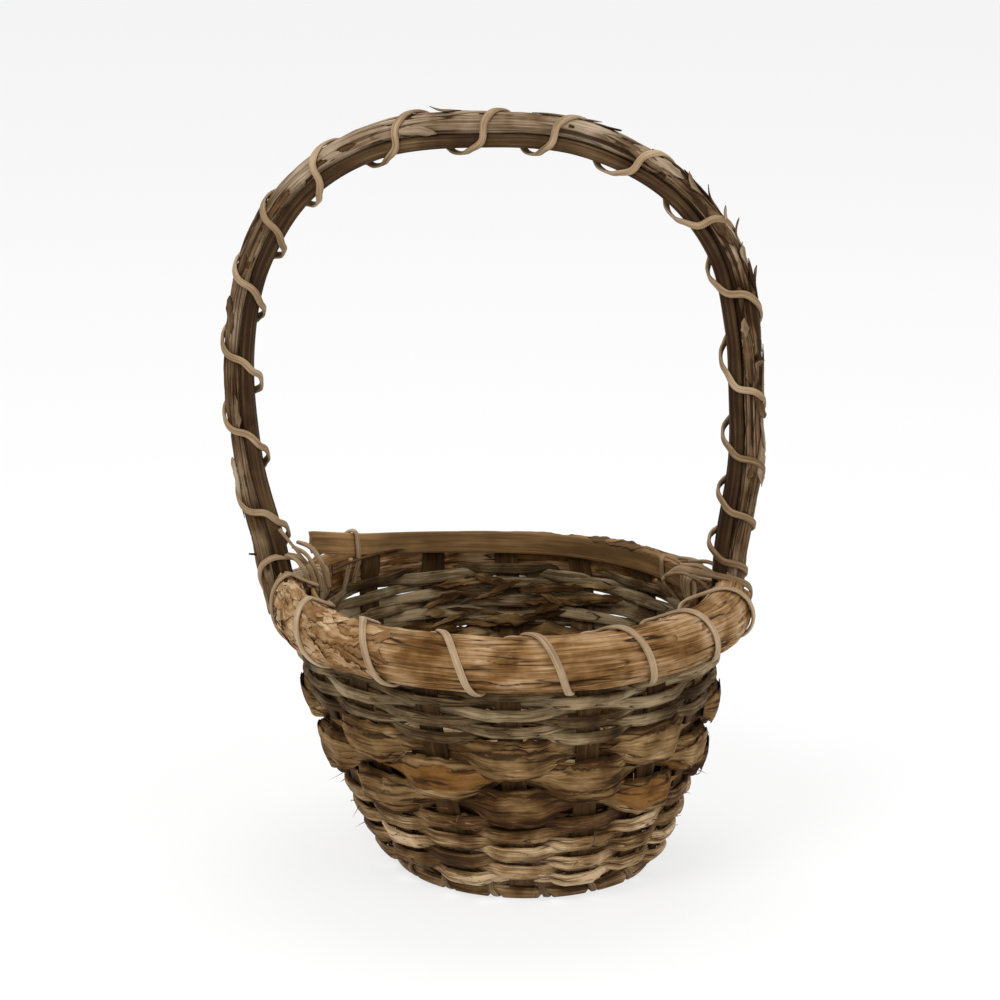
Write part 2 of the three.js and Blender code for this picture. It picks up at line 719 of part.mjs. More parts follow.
function ringSection(bottom) {
  const inner = ringRadius - ringWidth / 2;
  const outer = ringRadius + ringWidth / 2;
  const chamfer = ringWidth / 6;
  return [
    new THREE.Vector2(outer - chamfer, bottom),
    new THREE.Vector2(outer, bottom + (ringHeight - bottom) / 2),
    new THREE.Vector2(outer - chamfer, ringHeight),
    new THREE.Vector2(inner + chamfer, ringHeight),
    new THREE.Vector2(inner, bottom + (ringHeight - bottom) / 2),
    new THREE.Vector2(inner + chamfer, bottom),
  ];
}

function addBaseRing() {
  const stations = [
    [dentStartShare - dentSlopeShare, 0],
    [dentStartShare, dentDepth],
    [dentEndShare, dentDepth],
    [dentEndShare + dentSlopeShare, 0],
  ];
  const rings = [];
  for (let bay = 0; bay < stakeCount; bay += 1) {
    for (const [share, bottom] of stations) {
      const azimuth = (bay + share) * stakeStep;
      rings.push(ringSection(bottom).map((point) => carry(point, azimuth)));
    }
  }
  addPart('base_ring', loft(rings, true), finish.lowerWeaver);
}

/** Base lashing: over each splint inside, then down, under and up again in the bay beside it. */
const baseTurnShares = [
  [0, 0], [0.042, 0.34], [0.125, 0.37], [0.25, 0.4], [0.5, 0.5], [0.75, 0.6], [0.875, 0.63],
  [0.958, 0.66], [1, 1],
];

function addBaseLashing() {
  const lines = 12;
  const wrapped = [
    ...ringSection(dentDepth),
    new THREE.Vector2(ringRadius - ringWidth / 3, baseHeight + splintThickness / 2),
    new THREE.Vector2(ringRadius, baseHeight + splintThickness / 2),
  ];
  const corners = loopRound(wrapped, canePadding, lines);
  const route = [];
  for (let step = 1; step < stakeCount * lines; step += 1) {
    const turn = Math.floor((step - 0.5) / lines);
    const turnShare = (step - 0.5) / lines - turn;
    const azimuth = (turn + readTable(baseTurnShares, turnShare)) * stakeStep;
    const index = (((lines / 4 - step) % lines) + lines) % lines;
    const outAngle = (2 * Math.PI * (index + 0.5)) / lines;
    const out = new THREE.Vector2(Math.cos(outAngle), Math.sin(outAngle));
    route.push({ point: carry(corners[index], azimuth), out: carry(out, azimuth) });
  }
  addPart('base_lashing', caneGeometry('base_lashing', route, baseCaneWidth), finish.cane);
}

addSplints();
addWovenRows();
addBaseRing();
addBaseLashing();
addRimRolls();
addInnerHoop();
addRimLashings();
addHandleRods();
addHandleBinding();
addFootLashings();

export default basket;
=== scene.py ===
import math

import bpy
import numpy as np
from mathutils import Matrix, Vector


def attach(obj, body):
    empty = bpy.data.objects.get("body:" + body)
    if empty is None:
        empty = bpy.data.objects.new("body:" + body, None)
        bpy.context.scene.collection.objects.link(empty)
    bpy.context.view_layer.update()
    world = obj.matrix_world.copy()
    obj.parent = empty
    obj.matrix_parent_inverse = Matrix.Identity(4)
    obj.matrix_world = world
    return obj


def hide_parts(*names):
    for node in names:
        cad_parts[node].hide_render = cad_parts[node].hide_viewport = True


# Looks of a hand-woven foraging basket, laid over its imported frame.
# Lengths are in millimetres, as in the basket's plan, and become metres when a mesh is made.
# An azimuth runs from the front (-Y) towards +X. A surface is a grid of points: rows follow the
# piece along its length, columns go round it.

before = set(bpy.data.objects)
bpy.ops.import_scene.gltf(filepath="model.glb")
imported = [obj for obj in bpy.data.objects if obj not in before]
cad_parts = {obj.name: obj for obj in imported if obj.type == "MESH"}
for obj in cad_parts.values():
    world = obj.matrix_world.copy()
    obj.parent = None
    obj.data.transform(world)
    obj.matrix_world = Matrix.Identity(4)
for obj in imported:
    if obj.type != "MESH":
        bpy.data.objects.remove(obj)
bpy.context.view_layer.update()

MM = 0.001
TAU = 2 * math.pi

# Sizes that the plan gives
STAKES = 16
STAKE_STEP = TAU / STAKES
LEAN_SHARE, LEAN_FOOT = 0.08, 16.6
BASE_HEIGHT = 7.05
STAKE_WIDTH, STAKE_THICKNESS, STAKE_TOP = 12.0, 1.5, 137.0
MAT_PITCH, MAT_HOLD, MAT_WAVE, MAT_JOIN = 15.0, 6.45, 0.9, 44.6
TURN_RADIUS, BELLY_RADIUS = 62.6, 100.0
RING_RADIUS, RING_WIDTH, RING_HEIGHT, RING_DENT = 59.0, 9.0, 6.0, 2.4
BASE_ROW = 47.5
LOWER_ROWS, LOWER_START, LOWER_PITCH = 7, 72.3, 5.2
BAND_ROWS, BAND_START, BAND_PITCH = 3, 113.3, 14.6
UPPER_ROWS, UPPER_START, UPPER_PITCH = 6, 152.0, 5.48
ROLL_RADIUS, ROLL_RADIAL, ROLL_END = 108.25, 20.6, math.radians(4.13)
FRONT_ROLL = {"size": 27.0, "height": 133.0}
BACK_ROLL = {"size": 21.5, "height": 125.4}
HOOP_RADIUS, HOOP_WIDTH, HOOP_THICKNESS, HOOP_HEIGHT = 93.65, 12.0, 2.0, 134.0
HOOP_START, HOOP_RISE, HOOP_LEAVE = -0.62 * math.pi, 0.98 * math.pi, 1.275 * math.pi
HOOP_FREE, HOOP_LEAVE_RISE, HOOP_END_RISE = 41.0, 7.5, 17.4
CLEARANCE = 0.3
CANE_WIDTH, CANE_THICKNESS = 4.0, 1.8
CANE_PAD = CLEARANCE + CANE_THICKNESS / 2
CORE_RADIUS, CORE_FOOT, CORE_SIDE = 3.3, 120.0, 3.45
SEAM_SPREAD, SEAM_RISE, BARK_SINK = 15.17, 241.5, 0.9
FOOT_PITCH, FOOT_GAP = 5.8, 8.6

# Steps in one turn of a wound cane, and in one bay of the base ring
TURN_STEPS = 72


# The photograph's viewing angle
def set_camera(elevation, distance, aim, lens, roll=0.0):
    """Camera in front of the basket, raised by an angle, looking at a point of its middle plane."""
    data = bpy.data.cameras.new("viewpoint")
    data.lens, data.sensor_width, data.clip_start, data.clip_end = lens, 36, 0.05, 100
    eye = bpy.data.objects.new("viewpoint", data)
    rise = math.radians(elevation)
    eye.location = Vector(aim) + distance * Vector((0, -math.cos(rise), math.sin(rise)))
    level = Matrix.Rotation(math.pi / 2 - rise, 3, "X")
    eye.rotation_euler = (level @ Matrix.Rotation(math.radians(roll), 3, "Z")).to_euler()
    bpy.context.scene.collection.objects.link(eye)
    bpy.context.scene.camera = eye


set_camera(elevation=15.4, distance=2.0, aim=(0.0030, 0, 0.1827), lens=148.0, roll=0.7)


# Grain: smooth noise that every bark, stem and splint is shaped by
def cell_value(cell, seed):
    """Fixed random value in -1..1 of a whole-number cell: its numbers mixed by large odd factors."""
    mixed = (cell[..., 0] * 374761393 + cell[..., 1] * 668265263 + cell[..., 2] * 1442695041
             + int(seed) * 974634777) & 0xFFFFFFFF
    mixed = ((mixed ^ (mixed >> 13)) * 1274126177) & 0xFFFFFFFF
    mixed = ((mixed ^ (mixed >> 15)) * 1103515245) & 0xFFFFFFFF
    return (mixed ^ (mixed >> 16)) / 2147483648.0 - 1


def grain(points, seed):
    """Smooth noise in -1..1: the corner values of a point's cell, blended by a cubic ease."""
    cell = np.floor(points).astype(np.int64)
    share = points - cell
    share = share * share * (3 - 2 * share)
    total = 0
    for corner in range(8):
        step = np.array([corner & 1, corner >> 1 & 1, corner >> 2])
        total = total + np.prod(np.where(step, share, 1 - share), -1) * cell_value(cell + step, seed)
    return total


def fine_grain(points, seed, octaves=3):
    """Noise plus itself at half the size and half the strength, and so on."""
    total = sum(grain(points * 2**o, seed + 17 * o) * 0.5**o for o in range(octaves))
    return total / (2 - 0.5**(octaves - 1))


def crests(points, seed, octaves=3):
    """Sharp ridges in 0..1, high where the noise crosses zero."""
    total = sum((1 - np.abs(grain(points * 2**o, seed + 31 * o))) * 0.5**o for o in range(octaves))
    return total / (2 - 0.5**(octaves - 1))


def line_grain(along, seed, size):
    """Noise in -1..1 along a line of places, `size` apart."""
    along = np.asarray(along, float) / size
    return grain(np.stack([along, along * 0 + 0.37, along * 0 + 0.71], -1), seed)


def round_points(along, turn, radius, long_size, cross_size):
    """Noise places on a strand: its length over one size, its round over another, with no seam."""
    return np.stack(np.broadcast_arrays(along / long_size, radius * np.cos(turn) / cross_size,
                                        radius * np.sin(turn) / cross_size), -1)


def ease(value, low, high):
    """0 below low, 1 above high, a smooth step between."""
    share = np.clip((value - low) / (high - low), 0, 1)
    return share * share * (3 - 2 * share)


# Places in the basket
def around(radius, height, azimuth, sideways=0.0):
    """Point at a radius and height, turned to an azimuth and pushed sideways there."""
    radius, height, azimuth, sideways = np.broadcast_arrays(radius, height, azimuth, sideways)
    return np.stack([radius * np.sin(azimuth) + sideways * np.cos(azimuth),
                     sideways * np.sin(azimuth) - radius * np.cos(azimuth), height], -1)


WALL_SHARES = np.array([
    [0, 0], [0.107, 0.018], [0.182, 0.047], [0.251, 0.084], [0.353, 0.146], [0.449, 0.215],
    [0.578, 0.331], [0.687, 0.446], [0.794, 0.561], [0.904, 0.677], [0.963, 0.738], [0.995, 0.785],
    [1, 0.823], [0.979, 0.861], [0.936, 0.9], [0.898, 0.938], [0.885, 1]])
wall_line = np.column_stack([
    TURN_RADIUS + (BELLY_RADIUS - TURN_RADIUS) * WALL_SHARES[:, 0],
    BASE_HEIGHT + (STAKE_TOP - BASE_HEIGHT) * WALL_SHARES[:, 1]])
wall_line = np.vstack([[0, BASE_HEIGHT], wall_line])


def lengths_of(points):
    """Distance along a row of points, from the first."""
    return np.concatenate([[0], np.cumsum(np.linalg.norm(np.diff(points, axis=0), axis=1))])


def softened(points, step, reach):
    """Points laid a step apart along a line, each then the mean of its neighbours within a reach."""
    lengths = lengths_of(points)
    count = max(int(lengths[-1] / step), 4)
    places = np.linspace(0, lengths[-1], count + 1)
    laid = np.column_stack([np.interp(places, lengths, column) for column in points.T])
    half = max(int(reach / step), 1)
    padded = np.vstack([2 * laid[0] - laid[half:0:-1], laid, 2 * laid[-1] - laid[-2:-half - 2:-1]])
    weights = np.hanning(2 * half + 3)[1:-1]
    weights /= weights.sum()
    return np.column_stack([np.convolve(column, weights, "valid") for column in padded.T])


def softened_strip(path, out, step, reach):
    """A path and the directions out of it, softened as one. The directions are made a thousandth as
    long meanwhile, so that they hardly count in the lengths."""
    both = softened(np.hstack([path, out * 0.001]), step, reach)
    return both[:, :3], both[:, 3:] * 1000


wall_fine = softened(wall_line, 0.5, 5.0)
wall_lengths = lengths_of(wall_fine)
wall_lengths *= lengths_of(wall_line)[-1] / wall_lengths[-1]
wall_rise = np.gradient(wall_fine, axis=0)
wall_rise /= np.linalg.norm(wall_rise, axis=1)[:, None]


def wall_at(distance):
    """Radius, height, and the upward direction of the wall at a distance along its profile."""
    return [np.interp(distance, wall_lengths, table) for table in
            (wall_fine[:, 0], wall_fine[:, 1], wall_rise[:, 0], wall_rise[:, 1])]


def off_wall(spot, offset, azimuth):
    """Points at an offset outwards from what wall_at gives, and the outward directions there."""
    radius, level, rise_r, rise_z = spot
    return (around(radius + rise_z * offset, level - rise_r * offset, azimuth),
            around(rise_z, -rise_r, azimuth))


# Making meshes; the fan at an end of a tube takes TIP_LENGTH metres on the UV map
TIP_LENGTH = 0.003


def across_path(path, out):
    """Unit directions across a path: wide is square to it and to `out`, thick leans towards `out`."""
    along = np.gradient(path, axis=0)
    along /= np.linalg.norm(along, axis=1)[:, None]
    wide = np.cross(along, out)
    wide /= np.linalg.norm(wide, axis=1)[:, None]
    return wide, np.cross(wide, along)


def across_strand(spot, offset, azimuth):
    """Path of a strand at an offset from the wall, with unit directions up the wall and out of it."""
    path, out = off_wall(spot, offset, azimuth)
    wide, thick = across_path(path, out)
    wide *= np.sign(np.sum(wide * around(spot[2], spot[3], azimuth), 1))[:, None]
    return path, wide, thick


def turns(sides):
    """Angles of the columns round a section."""
    return TAU * (np.arange(sides) + 0.5) / sides


def oval(path, wide, thick, half_wide, half_thick, turn, power=2.0):
    """Grid round a path: a super-oval section whose cosine and sine are raised to 2 / power."""
    cos, sin = np.cos(turn), np.sin(turn)
    cos = np.sign(cos) * np.abs(cos)**(2 / power)
    sin = np.sign(sin) * np.abs(sin)**(2 / power)
    half_wide, half_thick = [size[:, None] if np.ndim(size) == 1 else size
                             for size in (half_wide, half_thick)]
    return (path[:, None] + wide[:, None] * (half_wide * cos)[..., None]
            + thick[:, None] * (half_thick * sin)[..., None])


def leaned(points):
    """The basket's lean: each point moves sideways with its height."""
    shifted = points.copy()
    shifted[..., 0] += LEAN_FOOT - LEAN_SHARE * points[..., 2]
    return shifted


def unleaned(points):
    """Points chosen in the leaning basket, put back upright."""
    upright = np.array(points, float)
    upright[:, 0] -= LEAN_FOOT - LEAN_SHARE * upright[:, 2]
    return upright


def enclosed(points):
    """Signed volume of a tube of rings, twice over, to tell which way its faces point."""
    a, b = points[:-1], points[1:]
    c = np.roll(a, -1, 1)
    return float(np.sum(a * np.cross(b, c)) + np.sum(c * np.cross(b, np.roll(b, -1, 1))))


def uv_corners(*corners):
    """Places on the UV map for the corners of many faces. Each corner is its u and its v."""
    return np.stack([np.stack(np.broadcast_arrays(*corner), -1) for corner in corners], -2).reshape(-1, 2)


def tube_faces(points, base):
    """Faces of a tube of rings whose points are numbered from `base`, and the UV places of their
    corners: the way round and the way along, in metres. Each end is closed by a fan about one more
    point, numbered after all the others."""
    rows, columns = points.shape[:2]
    index = base + np.arange(rows * columns).reshape(rows, columns)
    after = np.roll(index, -1, 1)
    along = lengths_of(points.mean(1)) * MM
    round_length = np.linalg.norm(points - np.roll(points, 1, 1), axis=2).sum(1).mean() * MM
    u_low = np.arange(columns) * round_length / columns
    u_high = u_low + round_length / columns
    v_low, v_high = along[:-1, None], along[1:, None]
    faces = [np.stack([index[:-1], after[:-1], after[1:], index[1:]], -1).reshape(-1, 4)]
    places = [uv_corners((u_low, v_low), (u_high, v_low), (u_high, v_high), (u_low, v_high))]
    for number, ring, order in ((0, 0, 1), (1, rows - 1, -1)):
        tip = np.full(columns, base + rows * columns + number)
        first_u, second_u = [u_high, u_low][::order]
        faces.append(np.stack([tip] + [after[ring], index[ring]][::order], -1))
        places.append(uv_corners(((u_low + u_high) / 2, along[ring] - order * TIP_LENGTH),
                                 (first_u, along[ring]), (second_u, along[ring])))
    return faces, places


def lay_skin(name, sheets, finish, stands_for=()):
    """One mesh of closed tubes. A sheet is (points, marks): a grid in millimetres, and values kept
    on its points. It turns so that its faces point outwards."""
    all_points, all_faces, all_places, marks_of, base = [], [], [], {}, 0
    for points, marks in sheets:
        points = leaned(points)
        if enclosed(points - points.mean((0, 1))) < 0:
            points = points[:, ::-1]
            marks = {key: value[:, ::-1] for key, value in marks.items()}
        faces, places = tube_faces(points, base)
        all_faces += faces
        all_places += places
        all_points += [points.reshape(-1, 3), points[[0, -1]].mean(1)]
        for key, value in marks.items():
            value = np.broadcast_to(value, points.shape[:2])
            marks_of.setdefault(key, []).append(np.append(value, [value[0].mean(), value[-1].mean()]))
        base += points.shape[0] * points.shape[1] + 2
    points = np.concatenate(all_points) * MM
    mesh = bpy.data.meshes.new(name)
    mesh.vertices.add(len(points))
    mesh.vertices.foreach_set("co", points.astype(np.float32).ravel())
    counts = np.concatenate([np.full(len(faces), faces.shape[1]) for faces in all_faces])
    corners = np.concatenate([faces.ravel() for faces in all_faces])
    mesh.loops.add(len(corners))
    mesh.loops.foreach_set("vertex_index", corners.astype(np.int32))
    mesh.polygons.add(len(counts))
    mesh.polygons.foreach_set("loop_start", np.concatenate([[0], np.cumsum(counts)[:-1]]).astype(np.int32))
    uv_map = mesh.uv_layers.new(name="strand")
    uv_map.data.foreach_set("uv", np.concatenate(all_places).astype(np.float32).ravel())
    for key, values in marks_of.items():
        store = mesh.attributes.new(key, "FLOAT", "POINT")
        store.data.foreach_set("value", np.concatenate(values).astype(np.float32))
    mesh.update(calc_edges=True)
    mesh.validate()
    mesh.materials.append(finish)
    piece = bpy.data.objects.new(name, mesh)
    bpy.context.scene.collection.objects.link(piece)
    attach(piece, "root")
    if stands_for:
        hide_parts(*stands_for)


# Finishes
# Dark colour of cracks and specks, and of the painted shade at edges, hollows and parts behind stakes
CRACK_AND_SHADE_TONE = (44, 27, 14)


def stain(red, green, blue):
    """Colour as it looks, 0..255, turned into the light values that a shader takes."""
    def light(value):
        value /= 255
        return value / 12.92 if value <= 0.04045 else ((value + 0.055) / 1.055)**2.4
    return light(red), light(green), light(blue), 1.0


class Bench:
    """The nodes of one finish: put() lays down a node, sets its inputs and links them."""

    def __init__(self, name):
        self.material = bpy.data.materials.new(name)
        self.material.use_nodes = True
        self.tree = self.material.node_tree
        self.shader = self.tree.nodes["Principled BSDF"]

    def put(self, kind, inputs=None, **settings):
        node = self.tree.nodes.new("ShaderNode" + kind)
        for key, value in settings.items():
            setattr(node, key, value)
        for key, value in (inputs or {}).items():
            self.give(node.inputs[key], value)
        return node

    def give(self, socket, value):
        if isinstance(value, bpy.types.NodeSocket):
            self.tree.links.new(value, socket)
        else:
            socket.default_value = value

    def mark(self, name):
        """Value kept on the points of the mesh."""
        return self.put("Attribute", attribute_name=name).outputs["Fac"]

    def sums(self, operation, *values):
        return self.put("Math", dict(enumerate(values)), operation=operation).outputs[0]

    def blend(self, share, first, second):
        """Colour between two."""
        return self.put("Mix", {0: share, 6: first, 7: second}, data_type="RGBA").outputs[2]

    def ramp(self, value, stops):
        """Colours or greys by value: stops are (place, colour)."""
        node = self.put("ValToRGB", {"Fac": value})
        elements = node.color_ramp.elements
        while len(elements) < len(stops):
            elements.new(0.5)
        for element, (place, colour) in zip(elements, stops):
            element.position = place
            element.color = colour if isinstance(colour, tuple) else (colour, colour, colour, 1)
        return node.outputs["Color"]

    def fibres(self, across, along, detail=4.0, shift=0.0):
        """Streaks on the piece's own UV map: fine across the strand, long along it, in millimetres."""
        laid = self.put("Mapping", {
            "Vector": self.put("UVMap", uv_map="strand").outputs[0],
            "Location": (shift, shift * 1.7, shift * 0.3),
            "Scale": (1 / (across * MM), 1 / (along * MM), 1)}).outputs[0]
        return self.put("TexNoise", {"Vector": laid, "Scale": 1.0, "Detail": detail,
                                     "Roughness": 0.6}).outputs["Fac"]

    def patches(self, size, detail=3.0):
        """Blotches in the piece's own space, about `size` millimetres across."""
        laid = self.put("TexCoord").outputs["Object"]
        return self.put("TexNoise", {"Vector": laid, "Scale": 1 / (size * MM), "Detail": detail,
                                     "Roughness": 0.55}).outputs["Fac"]


def plant_finish(name, tones, *, across, along, patch, rough, relief, under=None, speck=0.0, gloss=0.1,
                 lines=0.0, run=12, spread=0.75):
    """Plant fibre: streaked dark to light, stained in patches, darker in its cracks and its painted shade,
    rougher where dark. `under` is the colour of the inner bark that shows where the outer layer is torn off,
    and
    `lines` the distance in millimetres between thin cracks that are `run` times as long."""
    bench = Bench(name)
    streak = bench.fibres(across, along)
    hair = bench.fibres(across * 0.35, along * 0.7, detail=2, shift=3.1)
    blotch = bench.patches(patch)
    tone = bench.mark("tone")
    mixed = bench.sums("MULTIPLY_ADD", streak, 0.62, bench.sums("MULTIPLY", hair, 0.38))
    mixed = bench.sums("MULTIPLY_ADD", bench.sums("SUBTRACT", tone, 0.5), 0.55, mixed)
    mixed = bench.sums("MULTIPLY_ADD", bench.sums("SUBTRACT", blotch, 0.5), spread, mixed)
    dark, low, middle, high, pale = [stain(*colour) for colour in tones]
    colour = bench.ramp(mixed, [(0.22, dark), (0.37, low), (0.5, middle), (0.63, high), (0.8, pale)])
    if under is not None:
        deep = bench.patches(patch * 0.6)
        deep = bench.sums("MULTIPLY_ADD", deep, 0.5, bench.sums("MULTIPLY", streak, 0.5))
        deep = bench.ramp(deep, [(0.35, stain(*under[0])), (0.5, stain(*under[1])), (0.65, stain(*under[2]))])
        torn = bench.ramp(bench.mark("layer"), [(0.35, 1.0), (0.65, 0.0)])
        colour = bench.blend(torn, colour, deep)
    # Share of the dark colour: the mark on the points, which holds cracks and painted shade, plus fine hairs
    split = bench.ramp(bench.sums("MULTIPLY_ADD", bench.mark("crack_and_shade"), 1.0,
                                  bench.sums("MULTIPLY", bench.sums("SUBTRACT", hair, 0.5), 0.5)),
                       [(0.32, 0.0), (0.75, 0.9)])
    if lines:
        ridge = bench.sums("SUBTRACT", bench.fibres(lines, lines * run, 1.0, shift=7.7), 0.5)
        ridge = bench.ramp(bench.sums("ABSOLUTE", ridge), [(0.007, 0.95), (0.026, 0.0)])
        life = bench.fibres(lines * 2.5, lines * run * 0.7, 1.0, shift=5.3)
        thin = bench.sums("MULTIPLY", ridge, bench.ramp(life, [(0.47, 0.0), (0.6, 1.0)]))
        split = bench.sums("MAXIMUM", split, thin)
    colour = bench.blend(split, colour, stain(*CRACK_AND_SHADE_TONE))
    if speck:
        dots = bench.ramp(bench.patches(1.1, detail=1), [(0.68, 0.0), (0.74, speck)])
        colour = bench.blend(dots, colour, stain(*CRACK_AND_SHADE_TONE))
    bench.give(bench.shader.inputs["Base Color"], colour)
    dull = bench.ramp(mixed, [(0.2, min(rough + 0.12, 1.0)), (0.8, rough)])
    bench.give(bench.shader.inputs["Roughness"], dull)
    bench.shader.inputs["Specular IOR Level"].default_value = gloss
    height = bench.sums("MULTIPLY_ADD", streak, 0.6, bench.sums("MULTIPLY", hair, 0.4))
    height = bench.sums("SUBTRACT", height, bench.sums("MULTIPLY", split, 0.5))
    bump = bench.put("Bump", {"Strength": 0.9, "Distance": relief * MM, "Height": height})
    bench.give(bench.shader.inputs["Normal"], bump.outputs[0])
    return bench.material


stake_finish = plant_finish(
    "dark_stake_splint", [(34, 19, 7), (54, 35, 17), (74, 52, 29), (96, 73, 45), (124, 99, 66)],
    across=0.9, along=45, patch=30, rough=0.72, relief=0.5)
pale_stem_finish = plant_finish(
    "pale_woven_stem", [(54, 30, 9), (86, 60, 31), (120, 92, 58), (158, 129, 92), (208, 179, 141)],
    across=1.1, along=26, patch=20, rough=0.62, relief=0.6, speck=0.6, lines=2.8, run=14, spread=0.95)
grey_stem_finish = plant_finish(
    "grey_woven_stem", [(36, 21, 7), (62, 45, 25), (90, 72, 47), (118, 100, 72), (158, 138, 106)],
    across=1.0, along=26, patch=22, rough=0.72, relief=0.6, speck=0.4, lines=2.4, spread=0.9)
band_finish = plant_finish(
    "bark_twist", [(48, 28, 10), (80, 55, 28), (108, 82, 49), (134, 106, 70), (168, 140, 102)],
    across=1.1, along=24, patch=20, rough=0.82, relief=0.7, lines=4.2, run=9, spread=0.9,
    under=[(78, 48, 18), (112, 76, 36), (138, 99, 54)])
roll_finish = plant_finish(
    "bark_rim_roll", [(72, 44, 16), (106, 74, 38), (138, 104, 66), (166, 135, 99), (200, 172, 137)],
    across=1.2, along=34, patch=20, rough=0.78, relief=0.6, lines=5.0, run=13, spread=0.85,
    under=[(92, 60, 30), (126, 92, 58), (158, 126, 90)])
hoop_finish = plant_finish(
    "bamboo_hoop_strip", [(68, 47, 25), (88, 65, 38), (106, 80, 49), (136, 104, 66), (172, 134, 88)],
    across=0.8, along=60, patch=45, rough=0.5, relief=0.2)
rod_finish = plant_finish(
    "split_handle_rod", [(26, 11, 2), (46, 29, 13), (64, 45, 26), (84, 64, 40), (118, 94, 66)],
    across=1.0, along=50, patch=30, rough=0.6, relief=0.5)
handle_finish = plant_finish(
    "handle_bark", [(44, 26, 12), (80, 59, 38), (112, 91, 67), (144, 124, 101), (176, 157, 135)],
    across=1.0, along=40, patch=26, rough=0.84, relief=0.7, lines=4.2, run=16,
    under=[(50, 31, 16), (80, 58, 36), (108, 82, 54)])
cane_finish = plant_finish(
    "binding_cane", [(84, 59, 33), (113, 89, 60), (142, 117, 86), (168, 143, 113), (191, 167, 137)],
    across=0.7, along=30, patch=34, rough=0.5, relief=0.15, gloss=0.25)


# Torn strips
def shred(path, out, half_wide, seed, *, thickness=0.6, cup=0.0, ragged=0.35, tips=(7.0, 7.0), tone=0.5,
          layer=None, columns=14, step=0.9, rib=1.3):
    """Thin torn strip along a path: its edges are ragged apart from each other, it is cupped across
    by its width squared, it narrows over its two tips, and its ribs are about `rib` apart."""
    path, out = softened_strip(path, out, step, 1.8)
    along, turn = lengths_of(path), turns(columns)
    wide, thick = across_path(path, out)
    ends = np.clip(ease(along, -0.8, tips[0]) * ease(along[-1] - along, -0.8, tips[1]), 0.06, 1)
    edges = [half_wide * ends * (1 + ragged * (line_grain(along, seed + side, 5) + 0.7 * line_grain(
        along, seed + 5 + side, 1.7))) for side in (1, 2)]
    across = np.where(np.cos(turn) > 0, edges[0][:, None], edges[1][:, None]) * np.cos(turn)
    spots = np.stack(np.broadcast_arrays(along[:, None] / 26, across / rib, 0.5), -1)
    ribs = crests(spots, seed + 8, 2)
    rise = (thickness / 2 * (0.35 + 0.65 * ends))[:, None] * np.sin(turn) + 0.3 * (ribs - 0.8) * ends[:, None]
    points = (path[:, None] + wide[:, None] * across[..., None]
              + thick[:, None] * (rise - cup * across**2)[..., None])
    # Painted shade: the strip darkens along its edges, where they lift and curl
    rim = ease(np.abs(np.cos(turn)), 0.8, 0.99)
    marks = {"tone": tone + 0.35 * (ribs - 0.75) - 0.2 * rim,
             "crack_and_shade": np.clip(0.7 * ease(0.68 - ribs, 0.0, 0.2) + 0.5 * rim, 0, 1)}
    if layer is not None:
        marks["layer"] = np.full(across.shape, layer)
    return points, marks


def wisps(roots, ways, lengths, seed, *, half, tone, layer):
    """Loose fibres: each leaves its root in its own way, bends a little, sags and thins to nothing."""
    random = np.random.default_rng(seed)
    sheets = []
    for root, way, length in zip(roots, ways, lengths):
        share = np.linspace(0, 1, 9)[:, None]
        bend = random.normal(0, 0.3, 3)
        way = way / np.linalg.norm(way)
        path = root + length * (share * way + share**2 * (bend - [0, 0, 0.25]))
        side = np.cross(way, random.normal(0, 1, 3))
        side /= np.linalg.norm(side)
        wide, thick = across_path(path, np.tile(side, (9, 1)))
        size = half * (1.05 - share[:, 0]**1.5) * random.uniform(0.7, 1.4)
        points = oval(path, wide, thick, size * 1.5, size, turns(6))
        marks = {"tone": tone + random.uniform(-0.2, 0.2), "crack_and_shade": 0.0, "layer": layer}
        marks = {key: np.full((9, 6), value) for key, value in marks.items()}
        sheets.append((points, marks))
    return sheets


# Stakes; the part in the wall starts at WALL_START along the wall's profile
WALL_START = 62.0


def stake_path(azimuth, mat_offset, crossings, first_over):
    """Plan line of one stake: down one wall, woven through the mat, up the other wall."""
    fine = wall_fine[wall_lengths >= WALL_START]
    wall_out = np.column_stack([wall_rise[:, 1], -wall_rise[:, 0]])[wall_lengths >= WALL_START]
    far = math.pi - azimuth
    flat_down = np.array([0.0, 0.0, -1.0])
    middle, outs = [around(MAT_JOIN, BASE_HEIGHT, azimuth)], [flat_down]
    for index, crossing in enumerate(crossings):
        height = BASE_HEIGHT + (MAT_WAVE if (index % 2 == 0) == first_over else -MAT_WAVE)
        for hold in (-MAT_HOLD, MAT_HOLD):
            middle.append(np.array([mat_offset, crossing + hold, height]))
            outs.append(flat_down)
    middle.append(around(MAT_JOIN, BASE_HEIGHT, far))
    outs.append(flat_down)
    near_wall = around(fine[:, 0], fine[:, 1], azimuth)[::-1]
    far_wall = around(fine[:, 0], fine[:, 1], far)
    near_out = around(wall_out[:, 0], wall_out[:, 1], azimuth)[::-1]
    far_out = around(wall_out[:, 0], wall_out[:, 1], far)
    line = np.vstack([near_wall, middle, far_wall])
    out = np.vstack([near_out, outs, far_out])
    return softened_strip(line, out, 1.3, 2.6)


def stake_sheet(path, out, seed):
    """Flat split strip: a near-rectangular section whose face is ribbed by its fibres."""
    turn = turns(30)
    along = lengths_of(path)
    wide, thick = across_path(path, out)
    ribs = crests(round_points(along[:, None], turn, 6, 90, 1.3), seed, 2)
    ragged = 0.22 * line_grain(along, seed + 5, 14)
    points = oval(path, wide, thick, STAKE_WIDTH / 2 + ragged, STAKE_THICKNESS / 2, turn, 7)
    push = (0.34 * (ribs - 1))[..., None] * thick[:, None] * np.sign(np.sin(turn))[:, None]
    crack_and_shade = ease(ribs, 0.9, 0.99) * 0.5
    tone = 0.5 + 0.18 * line_grain(along, seed + 2, 40)[:, None] + 0.25 * (ribs - 0.75)
    return points + push, {"tone": tone, "crack_and_shade": crack_and_shade}


